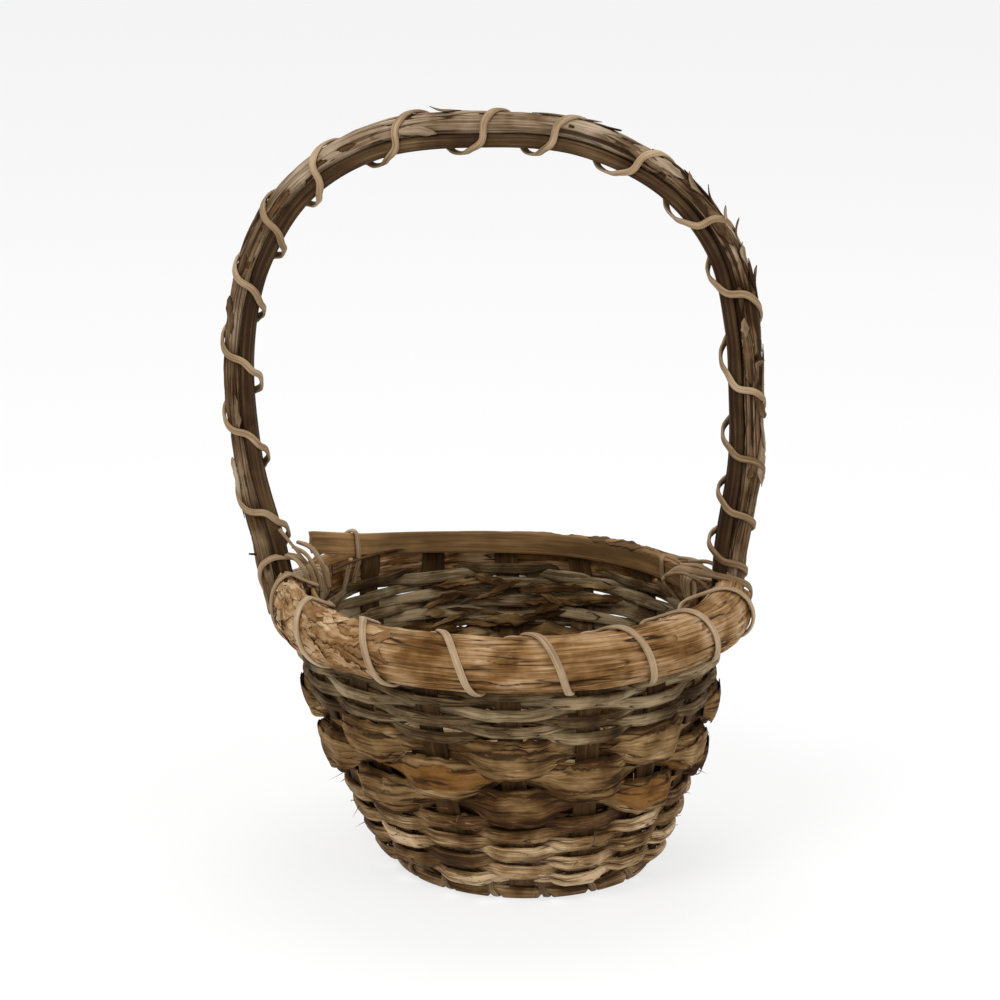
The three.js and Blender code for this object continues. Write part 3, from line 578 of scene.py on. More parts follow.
def lay_stakes():
    """Five stakes front to back and three left to right, woven through each other in the base."""
    along_places = [step * MAT_PITCH for step in range(-2, 3)]
    across_places = along_places[1:4]
    for index, place in enumerate(along_places):
        path, out = stake_path((index - 2) * STAKE_STEP, place, across_places, index % 2 == 0)
        lay_skin(f"stake_front_back_{index + 1}", [stake_sheet(path, out, 100 + index)], stake_finish,
                 [f"splint_front_back_{index + 1}"])
    for index, place in enumerate(across_places):
        path, out = stake_path((index - 1) * STAKE_STEP, place, along_places, index % 2 == 1)
        path, out = [np.column_stack([-p[:, 1], p[:, 0], p[:, 2]]) for p in (path, out)]
        lay_skin(f"stake_left_right_{index + 1}", [stake_sheet(path, out, 120 + index)], stake_finish,
                 [f"splint_left_right_{index + 1}"])


# Woven rows
def weave(stakes, index, radius):
    """Side of the wall that a row is on, 1 outside to -1 inside: it dwells flat against each stake
    and swings over between them by a cosine."""
    nearest = np.round(stakes)
    hold = 6.3 / (radius * STAKE_STEP)
    apart = np.clip((np.abs(stakes - nearest) - hold) / (0.5 - hold), 0, 1)
    return np.where((nearest + index) % 2 == 0, 1, -1) * np.cos(apart * math.pi / 2)


def stem_sheet(distance, index, first, last, height, seed, *, thickness=3.0, low=0.0, tone, tuck=2.4):
    """One stem of a row between two stakes: a flat oval that follows the weave, wavers up and down,
    and runs out to a point at each end. Inside a stake it sits lower by `tuck`, behind the row below,
    and it is painted paler in the back wall, painted light that lifts the shade inside the basket."""
    steps = int((last - first) * 26)
    stakes = np.linspace(first, last, steps + 1)
    turn = turns(22)
    wander = 0.55 * line_grain(stakes, seed, 1.3) + 0.3 * line_grain(stakes, seed + 9, 0.5) + low
    side = weave(stakes, index, wall_at(distance)[0])
    spot = wall_at(distance + wander - tuck * ease(-side, -0.3, 0.8))
    ends = ease(np.minimum(stakes - first, last - stakes), -0.05, 0.26)
    size = (0.93 + 0.13 * np.abs(side)) * (1 + 0.16 * line_grain(stakes, seed + 1, 0.8))
    size = size * (0.12 + 0.88 * ends)
    deep = (0.9 + 0.14 * np.abs(side)) * (0.3 + 0.7 * ends)
    offset = side * (STAKE_THICKNESS / 2 + CLEARANCE + thickness / 2)
    offset = offset + 0.7 * np.clip(side - 0.85, 0, 1) / 0.15 * 0.6
    azimuth = stakes * STAKE_STEP
    path, wide, thick = across_strand(spot, offset, azimuth)
    along = (stakes * spot[0] * STAKE_STEP)[:, None]
    folds = crests(round_points(along, turn, 2.2, 55, 1.5), seed + 3, 2)
    knots = fine_grain(round_points(along, turn, 2.2, 7, 2.4), seed + 4, 2)
    swell = 1 + 0.3 * (folds - 0.72) + 0.09 * knots
    points = oval(path, wide, thick, (height / 2 * size)[:, None] * swell,
                  (thickness / 2 * deep)[:, None] * swell, turn, 2.5)
    crack_and_shade = 0.6 * ease(0.7 - folds, 0.06, 0.22)
    # Painted light: the second term makes the stems paler towards the back wall, where the inside is in shade
    shade = 0.2 * line_grain(stakes, seed + 6, 0.9) + 0.24 * ease(-np.cos(azimuth), 0.1, 0.8)
    shade = tone + shade[:, None] + 0.3 * (folds - 0.75)
    return points, {"tone": shade, "crack_and_shade": crack_and_shade}


def row_sheets(distance, index, height, seed, tone, stems, tuck=2.4):
    """A row of stems laid end over end. Each starts and ends inside a stake, beside its neighbour,
    and a few split fibres stand off it."""
    random = np.random.default_rng(seed)
    start = (index + 1) % 2
    sheets, place, reach = [], start, 0.3
    spans = [6, 4, 6] if stems == 3 else [4, 6, 2, 4]
    random.shuffle(spans)
    for number, span in enumerate(spans):
        sheets.append(stem_sheet(
            distance, index, place - reach, place + span + reach, height * random.uniform(0.94, 1.12),
            seed * 10 + number, low=random.uniform(-0.3, 0.3) + (0.3 if number % 2 else -0.3),
            tone=tone + random.choice([-0.18, -0.06, 0.05, 0.3]), tuck=tuck))
        place += span
    for number in range(5):
        middle = start + 2 * random.integers(0, STAKES // 2) + 1 + random.uniform(-0.3, 0.3)
        sheets.append(splinter(distance, index, middle, random.uniform(0.5, 1.0), seed * 10 + 20 + number,
                               tone + random.uniform(-0.1, 0.3)))
    return sheets


def splinter(distance, index, middle, reach, seed, tone):
    """Split-off fibre of a stem: a thin strip on its outer face that lifts a little at one end."""
    stakes = np.linspace(middle - reach / 2, middle + reach / 2, 24)
    share = np.linspace(0, 1, 24)
    low, slant = line_grain([seed * 1.37], seed, 1)[0], line_grain([seed * 0.61], seed + 1, 1)[0]
    spot = wall_at(distance + (2.4 * low + 1.5 * (share - 0.5) * slant))
    offset = weave(stakes, index, spot[0]) * 2.55 + 1.35 + 2.6 * ease(share, 0.7, 1.0)
    return shred(*off_wall(spot, offset, stakes * STAKE_STEP), 0.75, seed, thickness=0.7, tips=(6, 9),
                 tone=tone, columns=8, ragged=0.25)


# How far the woven rows have ridden up the wall, most of all in the bark band
LOWER_LIFT, BAND_LIFT, UPPER_LIFT = 4.2, 5.0, 4.4

# Every row's index counts the rows below it, so that rows go outside and inside a stake by turns
FIRST_BAND_INDEX = 1 + LOWER_ROWS
FIRST_UPPER_INDEX = FIRST_BAND_INDEX + BAND_ROWS


def lay_rows():
    """The base row, seven pale rows below the bark with one thick pale stem in the lowest, and six
    greyer rows above it with a thin one that packs the gap under the rolls."""
    lay_skin("woven_base_row", row_sheets(BASE_ROW, 0, 4.6, 40, 0.42, 3), pale_stem_finish,
             ["weaver_base"])
    for row in range(LOWER_ROWS):
        distance = LOWER_START + LOWER_PITCH * row + LOWER_LIFT * row / (LOWER_ROWS - 1)
        sheets = row_sheets(distance, 1 + row, 7.3, 50 + row, 0.64 - 0.035 * row, 4)
        if row == 0:
            sheets.append(stem_sheet(72.8, 1, -2.3, -0.1, 7.4, 99, tone=0.92, thickness=3.6))
        lay_skin(f"woven_lower_row_{row + 1}", sheets, pale_stem_finish,
                 [f"weaver_lower_{row + 1}"])
    for row in range(UPPER_ROWS):
        distance = UPPER_START + UPPER_PITCH * row + UPPER_LIFT * (1 - row / UPPER_ROWS)
        sheets = row_sheets(distance, FIRST_UPPER_INDEX + row, 5.5, 70 + row, 0.52, 3, tuck=-0.4)
        if row == UPPER_ROWS - 1:
            sheets += row_sheets(184.6, FIRST_UPPER_INDEX + UPPER_ROWS, 5.0, 79, 0.36, 3, tuck=0.0)
        lay_skin(f"woven_upper_row_{row + 1}", sheets, grey_stem_finish,
                 [f"weaver_upper_{row + 1}"])


# Bark twists
def bark_surface(along, turn, radius, seed, *, fold, torn, depth):
    """Relief and marks of weathered bark: fibres along it, slow lumps, a few deep folds, and an outer
    layer that is torn off in patches with a fibrous edge. Returns the push outwards, tone, crack and
    layer."""
    fibres = crests(round_points(along, turn, radius, 30, 1.5), seed + 1, 2)
    lumps = fine_grain(round_points(along, turn, radius, 15, 7), seed + 2, 3)
    creases = crests(round_points(along, turn, radius, 40, 5.5), seed, 1)
    life = ease(grain(round_points(along, turn, radius, 24, 7), seed + 5), -0.1, 0.35)
    groove = ease(creases, 0.86, 0.99) * life
    edge = fine_grain(round_points(along, turn, radius, 15, 5), seed + 3, 3) + 0.45 * (fibres - 0.75)
    layer = ease(edge, torn - 0.03, torn + 0.03)
    cut = ease(torn - edge, -0.02, 0.01) * (1 - ease(torn - edge, 0.02, 0.09))
    push = (fold * (0.8 * lumps - 0.75 * groove) + 0.8 * depth * (fibres - 0.8)
            + depth * (layer - 1) + 0.4 * depth * (1 - ease(edge, torn, torn + 0.2)) * layer)
    crack_and_shade = np.clip(0.62 * groove + 0.5 * cut, 0, 1)
    tone = 0.5 + 0.25 * lumps + 0.45 * (fibres - 0.75)
    return push, tone, crack_and_shade, layer


def band_flap(distance, index, middle, length, half_wide, low, seed, tone, layer, lift):
    """Sheet of bark that lies over one swell of a twist, with ragged edges and lifted tips."""
    share = np.linspace(0, 1, 60)
    stakes = middle + (share - 0.5) * length / (wall_at(distance)[0] * STAKE_STEP)
    slant = 2.2 * line_grain([seed * 0.73], seed, 1)[0] * (share - 0.5)
    spot = wall_at(distance + low + slant)
    side = weave(stakes, index, spot[0])
    offset = (np.maximum(side, -0.2) * 4.45 + swell_at(stakes, index)[1] * (1 - (low / 13)**2)
              + 1.1 + lift * ease(np.abs(share - 0.5), 0.3, 0.5)
              + 0.5 * line_grain(share * 60, seed + 4, 11))
    return shred(*off_wall(spot, offset, stakes * STAKE_STEP), half_wide, seed, thickness=0.9, cup=0.013,
                 ragged=0.24, tips=(30, 30), tone=tone, layer=layer, columns=42, rib=2.6)


def swell_at(stakes, index):
    """Half height and half depth of a twist: a long pointed lens about each stake that it passes
    outside."""
    apart = np.abs((stakes + index + 1) % 2 - 1)
    lens = np.cos(apart * math.pi / 2)**1.1
    return 3.7 + 7.6 * lens + 2.4 * ease(apart, 0.72, 1.0), 2.1 + 0.9 * lens


# Swells that are torn to the orange inner bark, and dark ones, as (twist, stake)
ORANGE_SWELLS = {(1, 15), (0, 2)}
DARK_SWELLS = {(0, 0), (2, 6), (1, 9)}


def twist_sheet(row, start, distance, seed, own):
    """The body of a twist: a long broad lens outside a stake, pressed small inside the next one. `own`
    holds four random values for each swell, which change its level, height, tone and slant."""
    index, turn = FIRST_BAND_INDEX + row, turns(60)
    stakes = np.linspace(-0.12, STAKES + 0.12, STAKES * 48) + start
    nearest = 2 * np.round((stakes + index) / 2) - index
    which = np.mod(nearest, STAKES).astype(int)
    far = 1 - np.abs(stakes - nearest)
    wander = (1.0 * own[0][which] + 1.6 * own[3][which] * (stakes - nearest)) * ease(far, 0.0, 0.5)
    spot = wall_at(distance + wander)
    side = weave(stakes, index, spot[0])
    half_high, half_deep = swell_at(stakes, index)
    half_high = half_high + 1.0 * own[1][which] * ease(far, 0.0, 0.8)
    out_share = ease(far, 0.1, 0.8)[:, None]
    offset = side * (STAKE_THICKNESS / 2 + CLEARANCE) + np.where(side > 0, 3.4, 2.5) * side
    path, wide, thick = across_strand(spot, offset, stakes * STAKE_STEP)
    along = (stakes * spot[0].mean() * STAKE_STEP + 1234.5)[:, None]
    push, tone, crack_and_shade, layer = bark_surface(along, turn, 9.0, seed, fold=1.2, torn=-0.5, depth=0.6)
    push = push * (0.5 + 0.5 * out_share)
    fringe = 0.9 * np.abs(np.cos(turn)) * grain(round_points(along, turn, 3, 3.2, 3), seed + 9)
    points = oval(path, wide, thick, half_high[:, None] + push + fringe,
                  half_deep[:, None] + 0.8 * push, turn)
    # Painted shade: the twist darkens towards its top and bottom edges, where it meets the twists beside it,
    # and where it is pressed in behind a stake
    edge = ease(np.abs(np.cos(turn)), 0.72, 0.99)
    dark = np.isin(which, [place for band, place in DARK_SWELLS if band == row])[:, None]
    tone = tone + 0.16 * own[2][which][:, None] * out_share - 0.04 - 0.3 * edge - 0.3 * (dark * out_share)
    crack_and_shade = np.clip(crack_and_shade + 0.3 * (1 - out_share) + 0.35 * edge, 0, 1)
    return points, {"tone": tone, "crack_and_shade": crack_and_shade, "layer": layer}


def lay_bark_rows():
    """Three fat twists of bark, each under loose sheets of it. The two ends of a twist lie over each
    other inside a stake."""
    for row in range(BAND_ROWS):
        index, seed = FIRST_BAND_INDEX + row, 300 + 40 * row
        distance = BAND_START + BAND_PITCH * row + BAND_LIFT + 0.6 * (1 - row)
        start = (index + 1) % 2
        random = np.random.default_rng(seed)
        sheets = [twist_sheet(row, start, distance, seed, random.uniform(-1, 1, (4, STAKES)))]
        for place in range(start + 1, start + STAKES, 2):
            orange = (row, place % STAKES) in ORANGE_SWELLS
            shade = -0.32 if (row, place % STAKES) in DARK_SWELLS else 0.0
            torn_side = 1.6 if place % STAKES in (3, 4, 5) else 0.0
            for number, (low, half) in enumerate(((1.2, 8.2), (-5.4, 3.6))):
                sheets.append(band_flap(
                    distance, index, place + random.uniform(-0.1, 0.1) + 0.18 * number,
                    random.uniform(56, 68) - 18 * number, half * random.uniform(0.85, 1.1),
                    low + random.uniform(-1.0, 1.0), seed * 7 + 10 * place + number,
                    0.5 + shade + random.uniform(-0.14, 0.16), 0.0 if orange and number == 0 else 1.0,
                    random.uniform(-0.4, 1.0) + torn_side))
        lay_skin(f"bark_twist_{row + 1}", sheets, band_finish, [f"bark_row_{row + 1}"])


def lay_loose_bark():
    """Scraps of bark and broken stems that lie against the inside of the wall: loose ones at the
    back, and three rows of broader, darker ones at the front, put behind gaps of the weave as painted shade."""
    random = np.random.default_rng(91)
    sheets = []
    for number in range(22):
        share = np.linspace(-0.5, 0.5, 40)
        azimuth = math.pi + random.uniform(-0.55, 0.5) + random.uniform(0.15, 0.42) * share
        height = random.uniform(92, 116) + random.uniform(-9, 9) * share
        radius = np.interp(height, wall_fine[:, 1], wall_fine[:, 0]) - random.uniform(4.0, 8.0) - 3 * share**2
        sheets.append(shred(around(radius, height, azimuth), around(-1.0, 0.3, azimuth),
                            random.uniform(0.8, 2.6), 1500 + 10 * number, tone=random.uniform(0.0, 0.6),
                            layer=1.0, ragged=0.5, cup=0.03))
    # Painted shade: dark bark scraps behind the gaps in the front wall, where the inside of the basket is in
    # shade
    gap_shade_random = np.random.default_rng(92)
    for level in (43.5, 51.0, 62.0):
        for number in range(15):
            share = np.linspace(-0.5, 0.5, 40)
            azimuth = 0.165 * (number - 7) + gap_shade_random.uniform(-0.03, 0.03) + 0.34 * share
            height = level + gap_shade_random.uniform(-0.8, 0.8) + gap_shade_random.uniform(-2.5, 2.5) * share
            radius = np.interp(height, wall_fine[:, 1], wall_fine[:, 0]) - gap_shade_random.uniform(5.0, 6.6)
            sheets.append(shred(around(radius, height, azimuth), around(-1.0, 0.4, azimuth),
                                gap_shade_random.uniform(3.2, 4.2), 1740 + int(10 * level) + 10 * number,
                                tone=gap_shade_random.uniform(0.0, 0.4), layer=1.0, ragged=0.3))
    roots, ways, lengths = [], [], []
    for number in range(70):
        azimuth = random.uniform(-math.pi / 2 - 0.3, math.pi / 2 + 0.3)
        distance = random.choice([random.uniform(74, 110), random.uniform(112, 158)])
        roots.append(off_wall(wall_at(distance), 4.5, azimuth)[0])
        ways.append(around(0.9, random.uniform(-0.6, 0.5), azimuth, random.uniform(-1.6, 1.6)))
        lengths.append(random.uniform(3, 7))
    fibres = wisps(roots, ways, lengths, 93, half=0.16, tone=0.7, layer=1.0)
    lay_skin("loose_inner_bark", sheets, band_finish)
    lay_skin("loose_fibres", fibres, band_finish)


# Rim rolls
def rim_pull(azimuth):
    """How much narrower the rim is at its crumpled left end, seen from above, and wider at its right."""
    side = np.sin(azimuth)
    return 4.4 * ease(-side, 0.84, 1.0) - 2.8 * ease(side, 0.84, 1.0)


# Rings of a roll's hollow end, from its lip inwards: their sizes, and how far they stand out
LIP_SIZES = [0.95, 0.86, 0.76, 0.68, 0.6, 0.48, 0.3, 0.12]
LIP_DEPTHS = [0.9, 0.9, -0.8, -3, -5.5, -8, -9.5, -10]


def roll_end(ring, turn, outward, seed):
    """The rings that turn in from the last ring of a roll to a crumpled hollow, with painted shade that grows
    darker into the hollow.
    """
    centre = ring.mean(0)
    rings, dark = [], []
    for number, (scale, depth) in enumerate(zip(LIP_SIZES, LIP_DEPTHS)):
        waver = grain(round_points(np.float64(number * 0.3), turn, 3, 1, 1.1), seed + 7)
        scale = scale * (1 + 0.24 * (1 - scale) * 2 * waver)
        ragged = 0.9 * grain(round_points(np.float64(number * 0.2), turn, 3, 1, 0.8), seed + 8)
        rings.append(centre + (ring - centre) * scale[:, None] + outward * (depth + ragged)[:, None])
        # Painted shade: each ring further into the hollow is darker
        dark.append(np.full(len(ring), min(0.1 + 0.16 * number, 0.9)))
    return np.array(rings), np.array(dark)


def roll_sheet(size, height, middle, rows, columns, seed, creases):
    """A bark sheet rolled on itself: an oval carried round the rim, creased along its length, with
    a lip at each end that turns in to a crumpled hollow."""
    reach = math.pi / 2 - ROLL_END
    azimuth = middle + np.linspace(-reach, reach, rows)
    turn = turns(columns) + math.pi
    along = (azimuth - middle) * ROLL_RADIUS
    worn = (1 - ease(azimuth, -1.15, -0.62))[:, None] if middle == 0 else np.zeros((rows, 1))
    push, tone, crack_and_shade, layer = bark_surface(along[:, None], turn, 12, seed, fold=0.9 + 0.7 * worn,
                                            torn=-0.5 + 0.5 * worn, depth=0.4 + 0.3 * worn)
    tone = tone + 0.2 * worn
    for number, (angle, strength) in enumerate(creases):
        line = angle + 0.42 * line_grain(along, seed + 50 + number, 60)
        line = line + 0.12 * line_grain(along, seed + 60, 9)
        gap = np.abs((turn[None, :] - line[:, None] + math.pi) % TAU - math.pi)
        life = ease(line_grain(along, seed + 70 + number, 38), -0.35, 0.3)[:, None]
        life = life * strength * (1 - 0.8 * worn)
        push = push - 1.5 * life * np.exp(-(gap / 0.07)**2) - 0.6 * life * ease(gap, 0, 0.5) * (gap < 0.5)
        crack_and_shade = np.clip(crack_and_shade + life * np.exp(-(gap / 0.035)**2), 0, 1)
    near_end = 1 - ease(reach - np.abs(azimuth - middle), 0.02, 0.2)
    crumple = fine_grain(round_points(along[:, None], turn, 12, 8, 6), seed + 90, 3)
    push = np.minimum(push + 1.9 * np.maximum(near_end[:, None], 0.85 * worn) * crumple, 1.1)
    crack_and_shade = np.clip(crack_and_shade + 0.7 * worn * ease(-crumple, 0.25, 0.55), 0, 1)
    narrower = rim_pull(azimuth)[:, None]
    half_radial = (ROLL_RADIAL - narrower) / 2
    normal_r, normal_z = np.cos(turn) * size / 2, np.sin(turn) * half_radial
    norm = np.hypot(normal_r, normal_z)
    section_r = ROLL_RADIUS - narrower / 2 + half_radial * np.cos(turn) + push * normal_r / norm
    section_z = height + size / 2 * np.sin(turn) + push * normal_z / norm
    points = around(section_r, section_z, azimuth[:, None])
    marks = {"tone": tone, "crack_and_shade": crack_and_shade, "layer": layer}
    for end, way in ((0, -1), (-1, 1)):
        rings, dark = roll_end(points[end], turn, around(0.0, 0.0, azimuth[end], 1.0) * way, seed)
        points = np.concatenate([rings[::-1], points] if end == 0 else [points, rings])
        for key, value in list(marks.items()):
            added = dark if key == "crack_and_shade" else np.repeat(value[[end]], len(rings), 0)
            marks[key] = np.concatenate([added[::-1], value] if end == 0 else [value, added])
    return points, marks


def roll_flakes(size, height):
    """Torn flakes on the crumpled left end of the front roll. Each runs a short way along the roll
    and a little round it, and lies just above its oval."""
    random = np.random.default_rng(97)
    sheets = []
    for number in range(52):
        share = np.linspace(-0.5, 0.5, 24)
        length, tilt = random.uniform(12, 32), random.normal(0, 0.22)
        azimuth = random.uniform(-1.3, -0.56) + length * math.cos(tilt) * share / ROLL_RADIUS
        turn = random.uniform(-0.9, 2.1) + length * math.sin(tilt) * share / (size / 2)
        narrower = rim_pull(azimuth)
        lift = random.uniform(-0.3, 0.25) + random.uniform(-0.4, 0.6) * ease(np.abs(share), 0.2, 0.5)
        radius = ROLL_RADIUS - narrower / 2 + ((ROLL_RADIAL - narrower) / 2 + lift) * np.cos(turn)
        level = height + (size / 2 + lift) * np.sin(turn)
        sheets.append(shred(around(radius, level, azimuth), around(np.cos(turn), np.sin(turn), azimuth),
                            random.uniform(2.0, 4.6), 1600 + 10 * number, tone=random.uniform(0.5, 0.82),
                            layer=1.0 if random.uniform() < 0.85 else 0.0, ragged=0.6,
                            cup=random.uniform(0.015, 0.04), tips=(6, 6)))
    return sheets


# Creases along the rolls: the angle round the roll and the strength of each
FRONT_CREASES = [(-0.35, 1.0), (0.25, 0.8), (-0.95, 0.8), (0.85, 0.6), (2.4, 0.7), (-2.3, 0.8)]
BACK_CREASES = [(-0.3, 1.0), (0.5, 0.8), (-1.1, 0.8), (2.3, 0.7), (3.0, 0.9)]


def lay_rolls():
    """The front roll with its flakes, and the thinner back roll."""
    front = roll_sheet(**FRONT_ROLL, middle=0.0, rows=640, columns=112, seed=500, creases=FRONT_CREASES)
    back = roll_sheet(**BACK_ROLL, middle=math.pi, rows=560, columns=84, seed=560, creases=BACK_CREASES)
    lay_skin("front_rim_roll", [front] + roll_flakes(**FRONT_ROLL), roll_finish,
             ["rim_roll_front"])
    lay_skin("back_rim_roll", [back], roll_finish, ["rim_roll_back"])


# Inner hoop
def hoop_rise(azimuth):
    """How far the hoop has climbed: by a square law inside the stakes, then evenly along its free
    end, and not at all past it."""
    azimuth = np.asarray(azimuth, float)
    inside = np.clip((azimuth - HOOP_RISE) / (HOOP_LEAVE - HOOP_RISE), 0, 1)**2 * HOOP_LEAVE_RISE
    free = HOOP_RADIUS * np.tan(np.clip(azimuth - HOOP_LEAVE, 0, 0.5)) / HOOP_FREE
    return np.where(azimuth > TAU + HOOP_START, 0.0, inside + free * (HOOP_END_RISE - HOOP_LEAVE_RISE))


def lay_hoop():
    """Split bamboo strip: flat section, slightly crowned, with raised nodes and a slanted cut end.
    Three torn strips lie over its top edge at the back, and a thin twig inside it at the back left."""
    azimuth = np.linspace(HOOP_START, HOOP_LEAVE, 330)
    path = around(HOOP_RADIUS, HOOP_HEIGHT + 0.4 + hoop_rise(azimuth), azimuth)
    free = np.linspace(0, HOOP_FREE - 4, 34)[1:]
    climb = HOOP_LEAVE_RISE + (HOOP_END_RISE - HOOP_LEAVE_RISE) * free / HOOP_FREE
    tail = around(HOOP_RADIUS, HOOP_HEIGHT + 0.4 + climb, HOOP_LEAVE, free)
    out = around(1.0, 0.0, np.concatenate([azimuth, np.full(len(free), HOOP_LEAVE)]))
    path, out = softened_strip(np.vstack([path, tail]), out, 1.4, 9.0)
    along = lengths_of(path)
    wide, thick = across_path(path, out)
    turn = turns(32)
    nodes = sum(np.exp(-((along - place) / 0.9)**2) - 0.5 * np.exp(-((along - place - 2.4) / 1.1)**2)
                for place in (96.0, 268.0, 421.0))
    grainy = crests(round_points(along[:, None], turn, 6, 120, 1.2), 610, 2)
    half_wide = 5.6 + 0.2 * line_grain(along, 611, 50) + 0.25 * nodes
    crown = 0.25 * (1 - np.cos(turn)**2)
    half_thick = (HOOP_THICKNESS / 2 - 0.15 + 0.35 * nodes)[:, None] + crown + 0.14 * (grainy - 0.8)
    points = oval(path, wide, thick, half_wide, half_thick, turn, 6)
    slant = np.cos(turn) * np.sign(wide[-1, 2])
    points[-1] += around(0.0, 0.0, HOOP_LEAVE, 1.0) * (1.8 * slant)[:, None]
    crack_and_shade = np.clip(0.5 * np.abs(nodes)[:, None] + 0.3 * ease(grainy, 0.93, 1.0), 0, 1)
    tone = 0.6 + 0.26 * ease(along, along[-1] - 80, along[-1] - 20)[:, None] + 0.12 * (grainy - 0.75)
    sheets = [(points, {"tone": tone, "crack_and_shade": crack_and_shade})]
    strips = ((2.68, 2.3, 2.6, 0.7), (2.36, 1.92, 2.2, 1.0), (2.6, 2.44, 1.2, 2.4))
    for number, (first, last, half, lift) in enumerate(strips):
        azimuth = np.linspace(first, last, 60)
        over = around(HOOP_RADIUS + 0.6, HOOP_HEIGHT + 6.5 + lift * np.linspace(0, 1, 60)**2, azimuth)
        sheets.append(shred(over, around(-0.5, 0.85, azimuth), half, 620 + number,
                            tone=0.5 + 0.2 * number, ragged=0.6))
    azimuth = np.linspace(-1.9, -2.56, 60)
    twig = around(91.2, 136.6 - 1.2 * np.linspace(0, 1, 60), azimuth)
    sheets.append(shred(twig, around(-1.0, 0.0, azimuth), 0.8, 630, thickness=1.5, tone=0.1, ragged=0.2,
                        columns=10))
    lay_skin("bamboo_inner_hoop", sheets, hoop_finish, ["rim_inner_hoop"])


# Handle, whose arch is given by shares of its half span and of its rise over the feet of its rods
SEAM_SHARES = np.array([
    [-0.912, 0.145], [-0.98, 0.34], [-0.978, 0.555], [-0.885, 0.737], [-0.677, 0.886], [-0.368, 0.975],
    [0.027, 1], [0.412, 0.986], [0.746, 0.901], [0.937, 0.775], [0.996, 0.62], [0.998, 0.5],
    [0.982, 0.345], [0.902, 0.145]])


def seam_line():
    """The line between the core rods and the bark rod, a centripetal spline through the plan's
    points. Returns its points and how far along it each is."""
    foot = np.interp(CORE_FOOT, wall_line[1:, 1], wall_line[1:, 0]) + STAKE_THICKNESS / 2
    foot = foot + 2 * CLEARANCE + 2 * CORE_RADIUS
    arch = np.column_stack([SEAM_SHARES[:, 0] * (foot + SEAM_SPREAD),
                            CORE_FOOT + SEAM_SHARES[:, 1] * SEAM_RISE])
    knots = np.vstack([[-foot, CORE_FOOT], arch, [foot, CORE_FOOT]])
    padded = np.vstack([2 * knots[0] - knots[1], knots, 2 * knots[-1] - knots[-2]])
    line = []
    for index in range(len(knots) - 1):
        a, b, c, d = padded[index:index + 4]
        gaps = [math.sqrt(np.linalg.norm(q - p)) for p, q in ((a, b), (b, c), (c, d))]
        lead = ((b - a) / gaps[0] - (c - a) / (gaps[0] + gaps[1]) + (c - b) / gaps[1]) * gaps[1]
        trail = ((c - b) / gaps[1] - (d - b) / (gaps[1] + gaps[2]) + (d - c) / gaps[2]) * gaps[1]
        t = np.linspace(0, 1, 60, endpoint=False)[:, None]
        line.append(b + lead * t + (3 * c - 3 * b - 2 * lead - trail) * t**2
                    + (2 * b - 2 * c + lead + trail) * t**3)
    line = np.vstack(line + [knots[-1:]])
    return line, lengths_of(line)


seam_points, seam_places = seam_line()
seam_slopes = np.gradient(seam_points, seam_places, axis=0)
SEAM_LENGTH = seam_places[-1]


def beside_seam(place, out, back=0.0):
    """Points of the handle beside its seam, and its outward direction there."""
    place = np.asarray(place, float)
    x, z = [np.interp(place * SEAM_LENGTH, seam_places, seam_points[:, axis]) for axis in (0, 1)]
    run, rise = [np.interp(place * SEAM_LENGTH, seam_places, seam_slopes[:, axis]) for axis in (0, 1)]
    norm = np.hypot(run, rise)
    outward = np.stack([-rise / norm, 0 * place, run / norm], -1)
    points = np.stack([x, 0 * place, z], -1) + outward * np.asarray(out)[..., None]
    points[..., 1] += back
    return points, outward


def crown_lift(place):
    """How far the core rods are pressed up into the bark over the crown."""
    return 2.2 * ease(place, 0.26, 0.42) * (1 - ease(place, 0.62, 0.76))


def bark_diameter(place):
    """Thick over the crown, thin in the legs, with a slow swell of its own, less what the cores take."""
    full = (9.5 + 3.0 * np.sin(math.pi * place)**2) * (1 + 0.04 * np.sin(14 * math.pi * place))
    return full - crown_lift(place) + 0.6 - 2.4 * ease(place, 0.08, 0.15) * (1 - ease(place, 0.3, 0.42))


# Torn strips of the bark rod: where they leave it, as shares of its length, and ten more that also
# have a reach and a lift of their own
SHRED_PLACES = (0.11, 0.17, 0.24, 0.31, 0.45, 0.56, 0.585, 0.61, 0.625, 0.645, 0.66, 0.685, 0.7, 0.725,
                0.74, 0.765, 0.78, 0.8, 0.83, 0.86)
BOLD_SHREDS = [(0.475, 0.022, 2.6), (0.655, 0.018, 5.5), (0.672, 0.02, 4.0), (0.69, 0.025, 5.0),
               (0.70, 0.02, 6.0), (0.712, 0.02, 3.6), (0.735, 0.03, 3.4), (0.79, 0.012, 6.0),
               (0.815, 0.03, 3.2), (0.87, 0.012, 5.0)]


def handle_shreds():
    """Torn strips of bark along the rod, most on its right shoulder: each lies on the rod at an angle
    round it, and its tip lifts off by the square of the way past its middle."""
    random = np.random.default_rng(77)
    strips = [(place, random.uniform(0.02, 0.055), random.uniform(0.3, 2.4)) for place in SHRED_PLACES]
    sheets = []
    for number, (middle, reach, lift) in enumerate(strips + BOLD_SHREDS):
        share = np.linspace(0, 1, 40)
        way = random.choice([-1, 1])
        place = middle + way * reach * (share - 0.5)
        angle = random.uniform(-0.5, math.pi * 0.6) + random.uniform(-0.5, 0.5) * (share - 0.5)
        rise = bark_diameter(place) / 2 + 0.35 + lift * np.clip(share * 2 - 1, 0, 1)**2
        middle_line = crown_lift(place) + bark_diameter(place) / 2 - BARK_SINK
        path, outward = beside_seam(place, middle_line + rise * np.sin(angle), -rise * np.cos(angle))
        out = outward * np.sin(angle)[:, None]
        out[:, 1] -= np.cos(angle)
        sheets.append(shred(path, out, random.uniform(1.2, 3.0), 1300 + 10 * number, thickness=1.0,
                            ragged=0.45, tips=(8, random.uniform(1.5, 7)),
                            tone=0.5 + random.uniform(-0.35, 0.3), layer=1.0))
    return sheets


